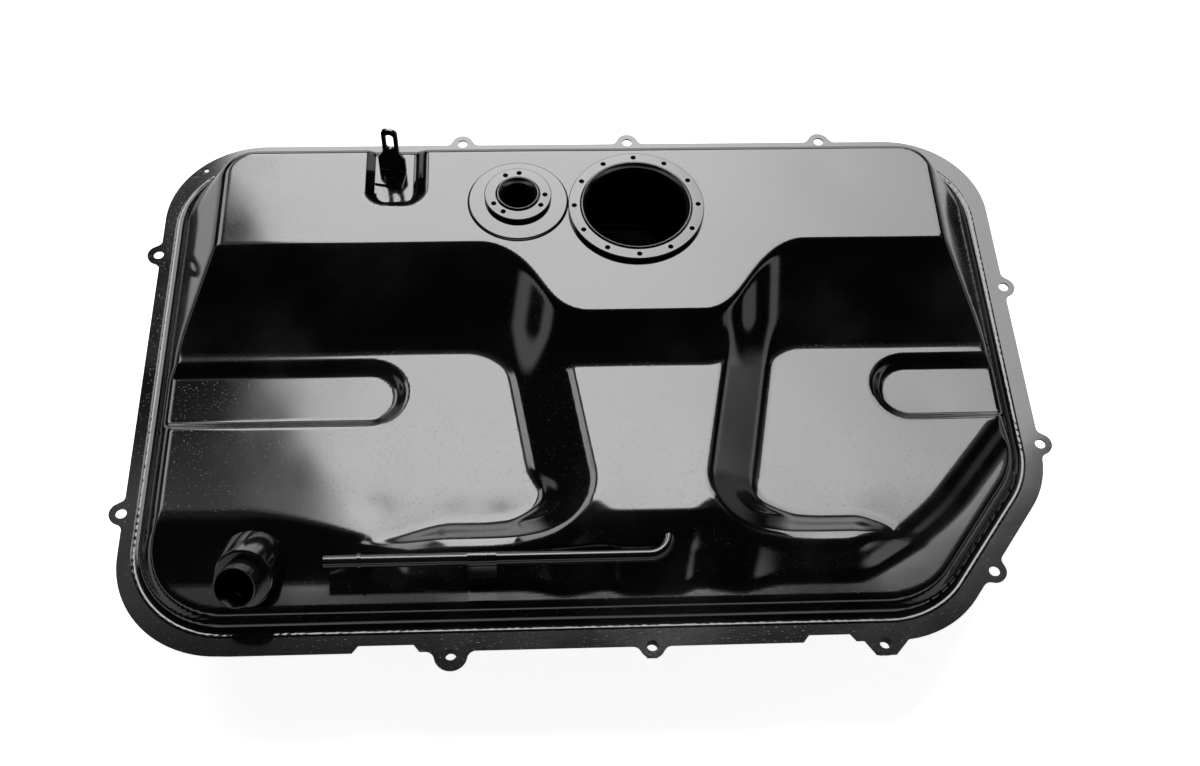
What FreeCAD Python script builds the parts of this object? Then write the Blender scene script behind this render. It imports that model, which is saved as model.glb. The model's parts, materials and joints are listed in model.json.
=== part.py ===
import FreeCAD, Part
import math
import os

import Sketcher

V = FreeCAD.Vector
Z_AXIS = V(0, 0, 1)

doc = FreeCAD.newDocument("fuel_tank")
sheet = doc.addObject("Spreadsheet::Sheet", "dimensions")
sheet.Label = "dimensions"

# Millimetres and degrees. X runs to the right, Y to the back, Z up from the tank's floor.
SIZES = [
    ("sheet_thick", 1.0, "steel sheet of both shells"),
    ("lower_depth", 88, "lower shell, floor to parting plane"),
    ("lower_draft", 0.194, "run per height of the lower wall"),
    ("lower_round", 24, "floor edge radius"),
    ("upper_height", 85, "plateau above the parting plane"),
    ("upper_slope", 0.64, "run per height of the upper wall"),
    ("upper_round", 12, "plateau edge radius"),
    ("flange_left", -438, ""),
    ("flange_right", 438, ""),
    ("flange_back", 298, ""),
    ("flange_front", -298, ""),
    ("flange_cut_x", 318, "front end of the corner cut"),
    ("flange_cut_y", -139, "right end of the corner cut"),
    ("flange_width", 25, "flat rim outside the wall"),
    ("flange_width_left", 20, ""),
    ("flange_corner", 100, "outer corner radius"),
    ("wall_corner", 85, "corner radius at the wall foot"),
    ("plateau_front", 94, "Y of the plateau edge beside the pump"),
    ("bump_front", 9, "Y of the plateau edge in front of the pump"),
    ("bump_left", -76, ""),
    ("bump_right", 190, ""),
    ("saddle_height", 59, ""),
    ("saddle_front", -197, ""),
    ("deck_height", 28, ""),
    ("deck_front", -227, ""),
    ("deck_slope", 1.09, "run per height of the deck's front wall"),
    ("rim_height", 38, ""),
    ("ledge_height", 16, ""),
    ("channel_depth", 8, ""),
    ("channel_left_end", -178, ""),
    ("channel_round", 24, "corner radius of a channel's closed end"),
    ("channel_right_end", 276, ""),
    ("pocket_depth", 11, "recess of the rear bracket"),
    ("pad_x", -67, "raised pad of the sender"),
    ("pad_y", 147, ""),
    ("pad_radius", 50, ""),
    ("pad_height", 2.5, ""),
    ("ear_radius", 11.5, ""),
    ("ear_hole", 5.25, "hole radius of the ears"),
    ("ear_blend", 8, "concave radius beside an ear"),
    ("ear_nut_flats", 16, "weld nut under a front ear, across its flats"),
    ("ear_nut_high", 8, ""),
    ("ear_nut_bore", 5, ""),
    ("notch_depth", 7, "relief of the flange's front edge"),
    ("far", 480, "reach of the blocks beyond the wall"),
    ("form_back", 400, ""),
    ("deck_cut_y", 12.8, "right end of the right deck's slanting side"),
    ("deck_cut_x", 278.7, ""),
    ("deck_left", -140, "left end of the decks' front side"),
    ("deck_step_x", -285, "where the left deck's side turns to the left"),
    ("deck_step_y", -176, ""),
    ("deck_right_slope", 2.1, ""),
    ("deck_left_slope", 2, ""),
    ("deck_far_slope", 4.5, ""),
    ("rim_left", -135, "rail in front of the decks"),
    ("rim_right", 250, ""),
    ("rim_wide", 10, ""),
    ("rim_slope", 2.3, ""),
    ("rim_round", 5, ""),
    ("saddle_back", 40, ""),
    ("saddle_back_left", -31, ""),
    ("saddle_back_right", 143, ""),
    ("saddle_front_left", 6, ""),
    ("saddle_front_right", 96, ""),
    ("saddle_right_slope", 1.39, ""),
    ("saddle_front_slope", 1.256, ""),
    ("saddle_left_slope", 1.74, ""),
    ("saddle_corner", 16, ""),
    ("saddle_round", 8, ""),
    ("bump_left_in", 51, "the bump's front edge starts this far in from its left side"),
    ("bump_right_in", 59, ""),
    ("plateau_slope", 1.35, ""),
    ("bump_right_slope", 0.70, ""),
    ("bump_front_slope", 1.19, ""),
    ("bump_left_slope", 0.88, ""),
    ("bump_corner", 22, ""),
    ("bump_right_hollow", 40, "concave corner between the bump and the plateau"),
    ("bump_left_hollow", 50, ""),
    ("plateau_round", 9, ""),
    ("channel_left_back", -14, ""),
    ("channel_left_front", -69, ""),
    ("channel_right_back", -16, ""),
    ("channel_right_front", -72, ""),
    ("pocket_left", -212, "recess of the rear bracket"),
    ("pocket_right", -170, ""),
    ("pocket_front", 154, ""),
    ("pocket_left_run", 12, "run of the recess's left wall over its depth"),
    ("pocket_right_run", 19, ""),
    ("pocket_front_run", 14, ""),
    ("pocket_corner", 7, ""),
    ("locate_x", -402, "locating hole in the flange"),
    ("locate_y", 265, ""),
    ("locate_hole", 2.5, ""),
    ("ear_wide", 3.5, "the front left ear is this much wider"),
    ("wing_left", 22, "plate beside the front right ear"),
    ("wing_right", 26, ""),
    ("wing_back", 8, ""),
    ("wing_front", 11, ""),
    ("wing_half", 9, ""),
    ("notch_1_left", -215, "reliefs in the flange's front edge"),
    ("notch_1_right", -166, ""),
    ("notch_2_left", 189, ""),
    ("notch_2_right", 226, ""),
    ("rib_radius", 20, "stiffening grooves in the floor"),
    ("rib_deep", 4, ""),
    ("rib_half", 150, ""),
    ("rib_front", -150, ""),
    ("rib_back", 45, ""),
    ("ear_1_x", -127, "bolt ears, clockwise from the rear left"),
    ("ear_1_y", 300, ""),
    ("ear_2_x", 54, ""),
    ("ear_2_y", 300, ""),
    ("ear_3_x", 267, ""),
    ("ear_3_y", 299, ""),
    ("ear_4_x", 438, ""),
    ("ear_4_y", 95, ""),
    ("ear_5_x", 439, ""),
    ("ear_5_y", -96, ""),
    ("ear_6_x", 369, ""),
    ("ear_6_y", -232, ""),
    ("ear_7_x", 257, ""),
    ("ear_7_y", -301, ""),
    ("ear_8_x", 47, ""),
    ("ear_8_y", -298, ""),
    ("ear_9_x", -133, ""),
    ("ear_9_y", -302, ""),
    ("ear_10_x", -440, ""),
    ("ear_10_y", -153, ""),
    ("ear_11_x", -440, ""),
    ("ear_11_y", 151, ""),
    ("pump_x", 51, "pump opening centre"),
    ("pump_y", 137, ""),
    ("pump_bore", 50.5, ""),
    ("pump_plate", 68, "outer radius of the pump ring"),
    ("pump_thick", 5.5, ""),
    ("pump_lip", 56, "outer radius of the raised lip"),
    ("pump_lip_rise", 1.2, ""),
    ("pump_circle", 62, "bolt circle radius"),
    ("pump_bolts", 12, ""),
    ("pump_hole", 2.75, "bolt hole radius"),
    ("sender_x", -67, "sender opening centre"),
    ("sender_y", 151, ""),
    ("sender_bore", 16, ""),
    ("sender_plate", 33.5, ""),
    ("sender_thick", 5, ""),
    ("sender_lip", 22, ""),
    ("sender_lip_rise", 1.8, ""),
    ("sender_circle", 27.06, ""),
    ("sender_hole", 2.75, ""),
    ("sender_turn", -3.2, "angle of the first sender hole"),
    ("nut_flats", 8, "weld nut across its flats"),
    ("nut_high", 4, ""),
    ("nut_bore", 2.3, "bore radius, measured to its flats"),
    ("filler_x", -313, "point on the filler axis near the deck"),
    ("filler_y", -226, ""),
    ("filler_z", 20, "above the parting plane"),
    ("filler_lean", 44, "angle of the filler axis from upright"),
    ("filler_turn", 10, "turn of the filler axis to the left"),
    ("filler_seat", 20, "height of the seat along the axis"),
    ("filler_seat_radius", 27, ""),
    ("filler_radius", 19, ""),
    ("filler_wall", 1.5, ""),
    ("filler_step", 0.3, "the stub is this much smaller in radius below its hose seat"),
    ("filler_mouth", 46, "height of the mouth along the axis"),
    ("collar_radius", 25, ""),
    ("collar_thick", 2.5, ""),
    ("pipe_radius", 6, "breather pipe"),
    ("pipe_wall", 1, ""),
    ("pipe_y", -229, ""),
    ("pipe_z", 42.5, "above the parting plane"),
    ("pipe_left", -244, ""),
    ("pipe_seat", 30, "length of the hose seat at the pipe's open end"),
    ("pipe_stop", 1.2, "rise of the bead behind the hose seat"),
    ("pipe_stop_long", 3, ""),
    ("pipe_bend", 18, "bend radius of the pipe's axis"),
    ("pipe_knee", 46, "X where the pipe bends to the back"),
    ("pipe_rise_y", 10, "Y where the pipe inside starts to rise"),
    ("pipe_rise_bend", 30, ""),
    ("pipe_rise_end", 28, "straight end of the pipe inside"),
    ("fit", 0.2, "clearance around a tube in its hole"),
    ("bracket_x", -194, "rear bracket"),
    ("bracket_y", 197, ""),
    ("bracket_turn", -12, "turn of the bracket about Z"),
    ("bracket_thick", 2.5, ""),
    ("bracket_wide", 28, "width of the bracket's body"),
    ("bracket_body", 26, "height of the bracket's body above its foot"),
    ("bracket_strap", 16.4, "width of the strap"),
    ("bracket_high", 62, "height of the strap's end above its foot"),
    ("bracket_foot", 22, "length of the foot"),
    ("slot_wide", 8, ""),
    ("slot_long", 20, ""),
    ("slot_low", 35, "height of the slot's lower end above the foot"),
    ("baffle_left_x", -190, ""),
    ("baffle_right_x", 210, ""),
    ("baffle_half", 220, "half length of a baffle"),
    ("baffle_high", 68, ""),
    ("baffle_foot", 15, ""),
    ("baffle_thick", 1.2, ""),
    ("baffle_holes", 3, ""),
    ("baffle_hole", 20, "flow hole radius"),
    ("pot_radius", 60, "swirl pot under the pump opening"),
    ("pot_high", 60, ""),
    ("pot_wall", 1.2, ""),
    ("drain_x", -60, ""),
    ("drain_y", -60, ""),
    ("drain_recess", 30, "radius of the recess in the floor"),
    ("drain_deep", 14, ""),
    ("drain_radius", 8, "plug shank"),
    ("clip_x", -104, ""),
    ("clip_wide", 26, ""),
    ("clip_thick", 1.5, ""),
    ("clip_foot_y", -242, "back edge of the clip's foot"),
]
row = 1
for alias, amount, note in SIZES:
    sheet.set(f"A{row}", alias)
    sheet.set(f"B{row}", str(amount))
    sheet.set(f"C{row}", note)
    sheet.setAlias(f"B{row}", alias)
    row += 1
doc.recompute()


def size(alias):
    return float(sheet.get(alias))


def bind(thing, field, formula):
    """Tie a property of a document object to the sheet; names in braces are aliases."""
    thing.setExpression(field, formula.replace("{", "dimensions.").replace("}", ""))


# Outlines and blocks of the pressed shells


def offset_polygon(points, amounts):
    """Move each side of a clockwise outline outwards by its own amount."""
    count = len(points)
    lines = []
    for i in range(count):
        ax, ay = points[i]
        bx, by = points[(i + 1) % count]
        length = math.hypot(bx - ax, by - ay)
        ux = (bx - ax) / length
        uy = (by - ay) / length
        lines.append((ax - uy * amounts[i], ay + ux * amounts[i], ux, uy))
    result = []
    for i in range(count):
        ax, ay, ux, uy = lines[i - 1]
        bx, by, wx, wy = lines[i]
        cross = ux * wy - uy * wx
        t = ((bx - ax) * wy - (by - ay) * wx) / cross
        result.append((ax + ux * t, ay + uy * t))
    return result


def rounded_face(points, radii, z):
    """A flat face with an arc of its own radius at each corner."""
    edges = []
    ends = []
    count = len(points)
    for i in range(count):
        corner = V(*points[i], z)
        back = (V(*points[i - 1], z) - corner).normalize()
        ahead = (V(*points[(i + 1) % count], z) - corner).normalize()
        half = back.getAngle(ahead) / 2
        reach = radii[i] / math.tan(half)
        middle = (back + ahead).normalize()
        start = corner + back * reach
        end = corner + ahead * reach
        tip = corner + middle * (radii[i] / math.sin(half) - radii[i])
        edges.append(Part.Arc(start, tip, end).toShape())
        ends.append((start, end))
    for i in range(count):
        edges.append(Part.makeLine(ends[i][1], ends[(i + 1) % count][0]))
    return Part.Face(Part.Wire(Part.__sortEdges__(edges)))


def inset(slope, skin):
    """Sideways shift of a wall whose sheet is skin thick, at the level that skin lowers."""
    return skin * (math.sqrt(1 + slope * slope) - slope)


def loop_at(solid, z, keep=lambda edge: True):
    """The edges of a solid that lie at one height."""
    return [
        edge
        for edge in solid.Edges
        if all(abs(corner.Point.z - z) < 1e-6 for corner in edge.Vertexes)
        and edge.Length > 0.5
        and keep(edge)
    ]


def tapered_block(label, points, radii, slope, height, skin):
    """A block with one slope all round, its corners cones, from z 0 up."""
    shift = inset(slope, skin)
    outline = doc.addObject("Part::Feature", f"{label}_outline")
    outline.Shape = rounded_face(offset_polygon(points, [-shift] * len(points)), [r - shift for r in radii], 0)
    block = doc.addObject("Part::Extrusion", label)
    block.Base = outline
    block.DirMode = "Custom"
    block.Dir = Z_AXIS
    block.LengthFwd = height - skin
    block.Solid = True
    block.TaperAngle = -math.degrees(math.atan(slope))
    doc.recompute()
    return block.Shape.copy()


def sloped_block(points, slopes, top, bottom, skin):
    """A block whose walls have their own slopes, with the outline given at its top."""
    shifts = [-inset(slope, skin) for slope in slopes]
    high = [V(x, y, top - skin) for x, y in offset_polygon(points, shifts)]
    runs = [slope * (top - bottom) + shift for slope, shift in zip(slopes, shifts)]
    low = [V(x, y, bottom - skin) for x, y in offset_polygon(points, runs)]
    faces = []
    for i in range(len(high)):
        j = (i + 1) % len(high)
        faces.append(Part.Face(Part.makePolygon([low[i], high[i], high[j], low[j], low[i]])))
    faces.append(Part.Face(Part.makePolygon(high + [high[0]])))
    faces.append(Part.Face(Part.makePolygon(low[::-1] + [low[-1]])))
    return Part.Solid(Part.Shell(faces)), high


def tier(points, slopes, corners, top, bottom, skin, edge_round=0, keep=lambda edge: True, hollow=()):
    """One level of the pressing: sloped walls, rounded corners and a rounded top edge."""
    block, high = sloped_block(points, slopes, top, bottom, skin)
    levels = {round(top - skin, 3), round(bottom - skin, 3)}
    for i, radius in enumerate(corners):
        if radius:
            slanted = [
                edge
                for edge in block.Edges
                if {round(corner.Point.z, 3) for corner in edge.Vertexes} == levels
                and min(corner.Point.distanceToPoint(high[i]) for corner in edge.Vertexes) < 1e-4
            ]
            block = block.makeFillet(radius + skin if i in hollow else radius - skin, slanted)
    if edge_round:
        block = block.makeFillet(edge_round - skin, loop_at(block, top - skin, keep))
    return block


def trough(points, slopes, floor, top, skin, rounded=(), radius=0):
    """The space above a pressed recess, with the outline given at its floor."""
    shifts = [inset(slope, skin) for slope in slopes]
    low = [V(x, y, floor - skin) for x, y in offset_polygon(points, shifts)]
    runs = [slope * (top - floor + skin) + shift for slope, shift in zip(slopes, shifts)]
    high = [V(x, y, top) for x, y in offset_polygon(points, runs)]
    faces = []
    for i in range(len(high)):
        j = (i + 1) % len(high)
        faces.append(Part.Face(Part.makePolygon([low[i], high[i], high[j], low[j], low[i]])))
    faces.append(Part.Face(Part.makePolygon(high + [high[0]])))
    faces.append(Part.Face(Part.makePolygon(low[::-1] + [low[-1]])))
    block = Part.Solid(Part.Shell(faces))
    for i in rounded:
        slanted = [
            edge
            for edge in block.Edges
            if abs(edge.Vertexes[0].Point.z - edge.Vertexes[-1].Point.z) > 1
            and min(corner.Point.distanceToPoint(low[i]) for corner in edge.Vertexes) < 1e-4
        ]
        block = block.makeFillet(radius + skin, slanted)
    return block


LEVEL = size("lower_depth")
SHEET = size("sheet_thick")
FAR = size("far")
flange_points = [
    (size("flange_left"), size("flange_back")),
    (size("flange_right"), size("flange_back")),
    (size("flange_right"), size("flange_cut_y")),
    (size("flange_cut_x"), size("flange_front")),
    (size("flange_left"), size("flange_front")),
]
flange_widths = [size("flange_width")] * 4 + [size("flange_width_left")]
wall_points = offset_polygon(flange_points, [-wide for wide in flange_widths])
flange_corners = [size("flange_corner")] * 4 + [size("flange_corner") + 10]
wall_corners = [size("wall_corner")] * 5

lean = math.radians(size("filler_lean"))
turn = math.radians(size("filler_turn"))
filler_axis = V(-math.sin(lean) * math.sin(turn), -math.sin(lean) * math.cos(turn), math.cos(lean))
filler_point = V(size("filler_x"), size("filler_y"), size("filler_z"))


def along_filler(distance):
    return filler_point + filler_axis * distance


def upper_form(skin):
    """The solid that the upper shell is pressed over, lowered by skin on every face."""
    height = size("upper_height")
    deck = size("deck_height")
    ledge = size("ledge_height")
    foot = ledge - 1
    label = f"upper_block_{round(skin)}"
    main = tapered_block(label, wall_points, wall_corners, size("upper_slope"), height, skin)
    top_loop = loop_at(main, height - skin)
    if skin:
        main = main.makeChamfer(0.27 * size("upper_round"), top_loop)
    else:
        main = main.makeFillet(size("upper_round"), top_loop)

    skirt = Part.makeBox(2 * FAR + 240, 2 * FAR, ledge + 20 - skin, V(-FAR - 120, -FAR, -20))
    front = size("deck_front")
    back = size("form_back")
    step_y = size("deck_step_y")
    deck_outline = [(-FAR, back), (FAR, back), (FAR, size("deck_cut_y")), (size("deck_cut_x"), front)]
    deck_outline += [(size("deck_left"), front), (size("deck_step_x"), step_y), (-FAR, step_y)]
    deck_slopes = [0, 0, size("deck_right_slope"), size("deck_slope")]
    deck_slopes += [size("deck_left_slope"), size("deck_far_slope"), 0]
    deck_block = tier(deck_outline, deck_slopes, [0] * 7, deck, foot, skin)

    rim_top = size("rim_height")
    rim_front = front + size("deck_slope") * (rim_top - deck)
    rim_back = rim_front + size("rim_wide")
    rim_left = size("rim_left")
    rim_right = size("rim_right")
    rim_outline = [(rim_left, rim_back), (rim_right, rim_back), (rim_right, rim_front), (rim_left, rim_front)]
    fall = size("rim_slope")
    rim = tier(rim_outline, [fall, fall, size("deck_slope"), fall], [0] * 4, rim_top, foot, skin, size("rim_round"))

    saddle_front = size("saddle_front")
    saddle_back = size("saddle_back")
    saddle_outline = [(size("saddle_back_left"), saddle_back), (size("saddle_back_right"), saddle_back)]
    saddle_outline += [(size("saddle_front_right"), saddle_front), (size("saddle_front_left"), saddle_front)]
    saddle_slopes = [0, size("saddle_right_slope"), size("saddle_front_slope"), size("saddle_left_slope")]
    saddle_corners = [0, 0, size("saddle_corner"), size("saddle_corner")]
    saddle = tier(
        saddle_outline, saddle_slopes, saddle_corners, size("saddle_height"), foot, skin, size("saddle_round"))

    edge = size("plateau_front")
    bump = size("bump_front")
    left = size("bump_left")
    right = size("bump_right")
    outline = [(-FAR, back), (FAR, back), (FAR, edge), (right, edge), (right - size("bump_right_in"), bump)]
    outline += [(left + size("bump_left_in"), bump), (left, edge), (-FAR, edge)]
    fall = size("plateau_slope")
    slopes = [0, 0, fall, size("bump_right_slope"), size("bump_front_slope"), size("bump_left_slope"), fall, 0]
    bend = size("bump_corner")
    corners = [0, 0, 0, size("bump_right_hollow"), bend, bend, size("bump_left_hollow"), 0]
    front_only = lambda loop: max(corner.Point.y for corner in loop.Vertexes) < (edge + back) / 2
    plateau = tier(outline, slopes, corners, height, foot, skin, size("plateau_round"), front_only, (3, 6))

    levels = skirt.multiFuse([deck_block, rim, saddle, plateau]).removeSplitter()
    form = main.common(levels)

    depth = size("channel_depth")
    end = size("channel_left_end") - depth
    near = size("channel_left_front")
    away = size("channel_left_back")
    cut_left = trough(
        [(-FAR, away), (end, away), (end, near), (-FAR, near)],
        [1, 1, 1, 0], deck - depth, deck + 5, skin, (1, 2), size("channel_round"))
    end = size("channel_right_end") + depth
    near = size("channel_right_front")
    away = size("channel_right_back")
    cut_right = trough(
        [(end, away), (FAR, away), (FAR, near), (end, near)],
        [1, 0, 1, 1], deck - depth, deck + 5, skin, (0, 3), size("channel_round"))
    deep = size("pocket_depth")
    left = size("pocket_left")
    right = size("pocket_right")
    near = size("pocket_front")
    pocket = trough(
        [(left, back), (right, back), (right, near), (left, near)],
        [0, size("pocket_right_run") / deep, size("pocket_front_run") / deep, size("pocket_left_run") / deep],
        height - deep, height + 5, skin, (2, 3), size("pocket_corner"))
    form = form.cut(cut_left).cut(cut_right).cut(pocket)

    pad_high = size("pad_height")
    pad = Part.makeCone(size("pad_radius") - skin / 2, size("pad_radius") - pad_high - skin / 2, pad_high)
    pad.Placement = FreeCAD.Placement(V(size("pad_x"), size("pad_y"), height - skin), FreeCAD.Rotation())
    seat = Part.makeCone(
        size("filler_seat_radius") + 7 - skin, size("filler_seat_radius") - skin,
        size("filler_seat") + 16 - skin, along_filler(-16), filler_axis)
    lower_half = Part.makeBox(2 * FAR, 2 * FAR, 200, V(-FAR, -FAR, 0))
    form = form.multiFuse([pad, seat]).removeSplitter()
    form = form.common(lower_half)
    return form.Solids[0]


def pipe_solid(radius, extra):
    """The breather pipe: along the ledge, in through the saddle, then up under the plateau."""
    y = size("pipe_y")
    z = size("pipe_z")
    bend = size("pipe_bend")
    knee = size("pipe_knee")
    left = size("pipe_left") - extra
    rise_bend = size("pipe_rise_bend")
    rise_y = size("pipe_rise_y")
    across = knee + bend

    def disc(center, normal):
        return Part.Face(Part.Wire(Part.makeCircle(radius, center, normal)))

    right = V(1, 0, 0)
    back = V(0, 1, 0)
    rise = V(0, math.sin(math.pi / 4), math.sin(math.pi / 4))
    lifted = V(across, rise_y + rise_bend * rise.y, z + rise_bend * (1 - rise.z))
    lengths = [
        disc(V(left, y, z), right).extrude(V(knee - left, 0, 0)),
        disc(V(knee, y, z), right).revolve(V(knee, y + bend, z), Z_AXIS, 90),
        disc(V(across, y + bend, z), back).extrude(V(0, rise_y - y - bend, 0)),
        disc(V(across, rise_y, z), back).revolve(V(across, rise_y, z + rise_bend), right, 45),
        disc(lifted, rise).extrude(rise * (size("pipe_rise_end") + extra)),
    ]
    return lengths[0].multiFuse(lengths[1:]).Solids[0]


def ear_places():
    """Centre of each bolt ear of the flange, clockwise from the rear left."""
    return [(size(f"ear_{i}_x"), size(f"ear_{i}_y")) for i in range(1, 12)]


def ear_radius(place):
    """The front left ear is wider than the others."""
    if place == ear_places()[8]:
        return size("ear_radius") + size("ear_wide")
    return size("ear_radius")


def notch(left, right, z, thick):
    """A shallow relief in the flange's front edge, cut for the tool."""
    edge = size("flange_front")
    deep = size("notch_depth")
    outline = [V(left - deep, edge - 2, z), V(left, edge + deep, z), V(right, edge + deep, z)]
    outline += [V(right + deep, edge - 2, z), V(left - deep, edge - 2, z)]
    return Part.Face(Part.makePolygon(outline)).extrude(V(0, 0, thick))


def flange_plate(z, thick):
    """The flat rim with its bolt ears, without the ear holes."""
    plate = rounded_face(flange_points, flange_corners, z).extrude(V(0, 0, thick))
    for i in (1, 2):
        plate = plate.cut(notch(size(f"notch_{i}_left"), size(f"notch_{i}_right"), z, thick))
    ears = [Part.makeCylinder(ear_radius(place), thick, V(*place, z)) for place in ear_places()]
    last_x, last_y = ear_places()[6]
    half = size("wing_half")
    wing = [(-size("wing_left"), size("wing_back")), (-half, -size("wing_front")), (half, -size("wing_front"))]
    wing += [(size("wing_right"), size("wing_back")), wing[0]]
    ears.append(Part.Face(Part.makePolygon([V(last_x + x, last_y + y, z) for x, y in wing])).extrude(V(0, 0, thick)))
    plate = plate.multiFuse(ears).removeSplitter()
    creases = []
    for edge in plate.Edges:
        ends = [corner.Point for corner in edge.Vertexes]
        if len(ends) == 2 and abs(ends[0].z - ends[1].z) > thick / 2:
            for place in ear_places():
                reach = math.hypot(ends[0].x - place[0], ends[0].y - place[1])
                if abs(reach - ear_radius(place)) < 0.05 and place != ear_places()[6]:
                    creases.append(edge)
                    break
    return plate.makeFillet(size("ear_blend"), creases)


def ear_drills(z, thick):
    return [Part.makeCylinder(size("ear_hole"), thick, V(x, y, z)) for x, y in ear_places()]


def round_places(center_x, center_y, radius, angles):
    return [
        V(center_x + radius * math.cos(math.radians(a)), center_y + radius * math.sin(math.radians(a)), 0)
        for a in angles
    ]


pump_places = round_places(
    size("pump_x"), size("pump_y"), size("pump_circle"),
    [90 + 360 / size("pump_bolts") * i for i in range(int(size("pump_bolts")))])
sender_places = round_places(
    size("sender_x"), size("sender_y"), size("sender_circle"),
    [a + size("sender_turn") for a in (0, 90, 120, 210, 240, 330)])


neck_bore = size("filler_radius") - size("filler_step") + size("fit")


def upper_shell_shape():
    outer = upper_form(0)
    inner = upper_form(SHEET)
    plate = flange_plate(0, SHEET)
    shell = outer.fuse(plate).cut(inner).removeSplitter()
    height = size("upper_height")
    tools = ear_drills(-1, 4)
    tools.append(Part.makeCylinder(size("locate_hole"), 4, V(size("locate_x"), size("locate_y"), -1)))
    tools.append(Part.makeCylinder(size("pump_bore"), 20, V(size("pump_x"), size("pump_y"), height - 10)))
    tools.append(Part.makeCylinder(size("sender_bore"), 20, V(size("sender_x"), size("sender_y"), height - 10)))
    for place in pump_places + sender_places:
        tools.append(Part.makeCylinder(size("pump_hole"), 20, V(place.x, place.y, height - 10)))
    tools.append(Part.makeCylinder(
        neck_bore, 30, along_filler(size("filler_seat") - 15), filler_axis))
    tools.append(pipe_solid(size("pipe_radius") + size("fit"), 10))
    for tool in tools:
        shell = shell.cut(tool)
    shell.translate(V(0, 0, LEVEL))
    return shell.Solids[0]


def lower_form(skin):
    """The solid inside the lower shell, upside down from the parting plane."""
    block = tapered_block(
        f"lower_block_{round(skin)}", wall_points, wall_corners, size("lower_draft"), size("lower_depth"), skin)
    round_edge = loop_at(block, size("lower_depth") - skin)
    block = block.makeFillet(size("lower_round") - skin, round_edge)
    block = block.mirror(V(0, 0, 0), Z_AXIS)
    block.translate(V(0, 0, LEVEL))
    dents = []
    half = size("rib_half")
    for y in (size("rib_front"), size("rib_back")):
        radius = size("rib_radius") + skin
        low = size("rib_deep") - size("rib_radius")
        dents.append(Part.makeCylinder(radius, 2 * half, V(-half, y, low), V(1, 0, 0)))
        dents.append(Part.makeSphere(radius, V(-half, y, low)))
        dents.append(Part.makeSphere(radius, V(half, y, low)))
    recess = size("drain_recess")
    deep = size("drain_deep")
    spot = V(size("drain_x"), size("drain_y"), -5)
    dents.append(Part.makeCone(recess + 5 + skin, recess - deep * 0.4 + skin, deep + 5 + skin, spot))
    for dent in dents:
        block = block.cut(dent)
    return block.Solids[0]


def lower_shell_shape():
    outer = lower_form(0)
    inner = lower_form(SHEET)
    plate = flange_plate(LEVEL - SHEET, SHEET)
    shell = outer.fuse(plate).cut(inner).removeSplitter()
    tools = ear_drills(LEVEL - 3, 6)
    tools.append(Part.makeCylinder(size("locate_hole"), 6, V(size("locate_x"), size("locate_y"), LEVEL - 3)))
    tools.append(Part.makeCylinder(
        size("drain_radius") + size("fit"), 30, V(size("drain_x"), size("drain_y"), -2)))
    for tool in tools:
        shell = shell.cut(tool)
    return shell.Solids[0]


# Small helpers for the pieces bound to the sheet


def primitive(kind, label, fields, place):
    """A Part primitive whose sizes and place are formulas."""
    thing = doc.addObject(f"Part::{kind}", label)
    thing.Label = label
    for field, formula in fields.items():
        bind(thing, field, formula)
    for axis, formula in zip("xyz", place):
        bind(thing, f"Placement.Base.{axis}", formula)
    return thing


def joined(kind, label, base, tool):
    """A two-sided boolean, or a fusion when the tool is a list."""
    thing = doc.addObject(f"Part::{kind}", label)
    thing.Label = label
    if kind == "MultiFuse":
        thing.Shapes = [base] + tool
    else:
        thing.Base = base
        thing.Tool = tool
    return thing


def sketch_on(body, plane, label):
    """A sketch on one of a body's own origin planes."""
    sketch = body.newObject("Sketcher::SketchObject", label)
    for feature in body.Origin.OriginFeatures:
        if feature.Role == plane:
            sketch.AttachmentSupport = [(feature, "")]
    sketch.MapMode = "FlatFace"
    doc.recompute()
    return sketch


def circle_in(sketch, x_formula, y_formula, radius_formula):
    """A circle with its centre and radius driven by the sheet."""
    index = sketch.addGeometry(Part.Circle(V(1, 1, 0), Z_AXIS, 5), False)
    radius = sketch.addConstraint(Sketcher.Constraint("Radius", index, 5.0))
    bind(sketch, f"Constraints[{radius}]", radius_formula)
    for kind, formula in (("DistanceX", x_formula), ("DistanceY", y_formula)):
        if formula == "0":
            other = -2 if kind == "DistanceX" else -1
            sketch.addConstraint(Sketcher.Constraint("PointOnObject", index, 3, other))
        else:
            place = sketch.addConstraint(Sketcher.Constraint(kind, -1, 1, index, 3, 1.0))
            bind(sketch, f"Constraints[{place}]", formula)
    return index


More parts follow.
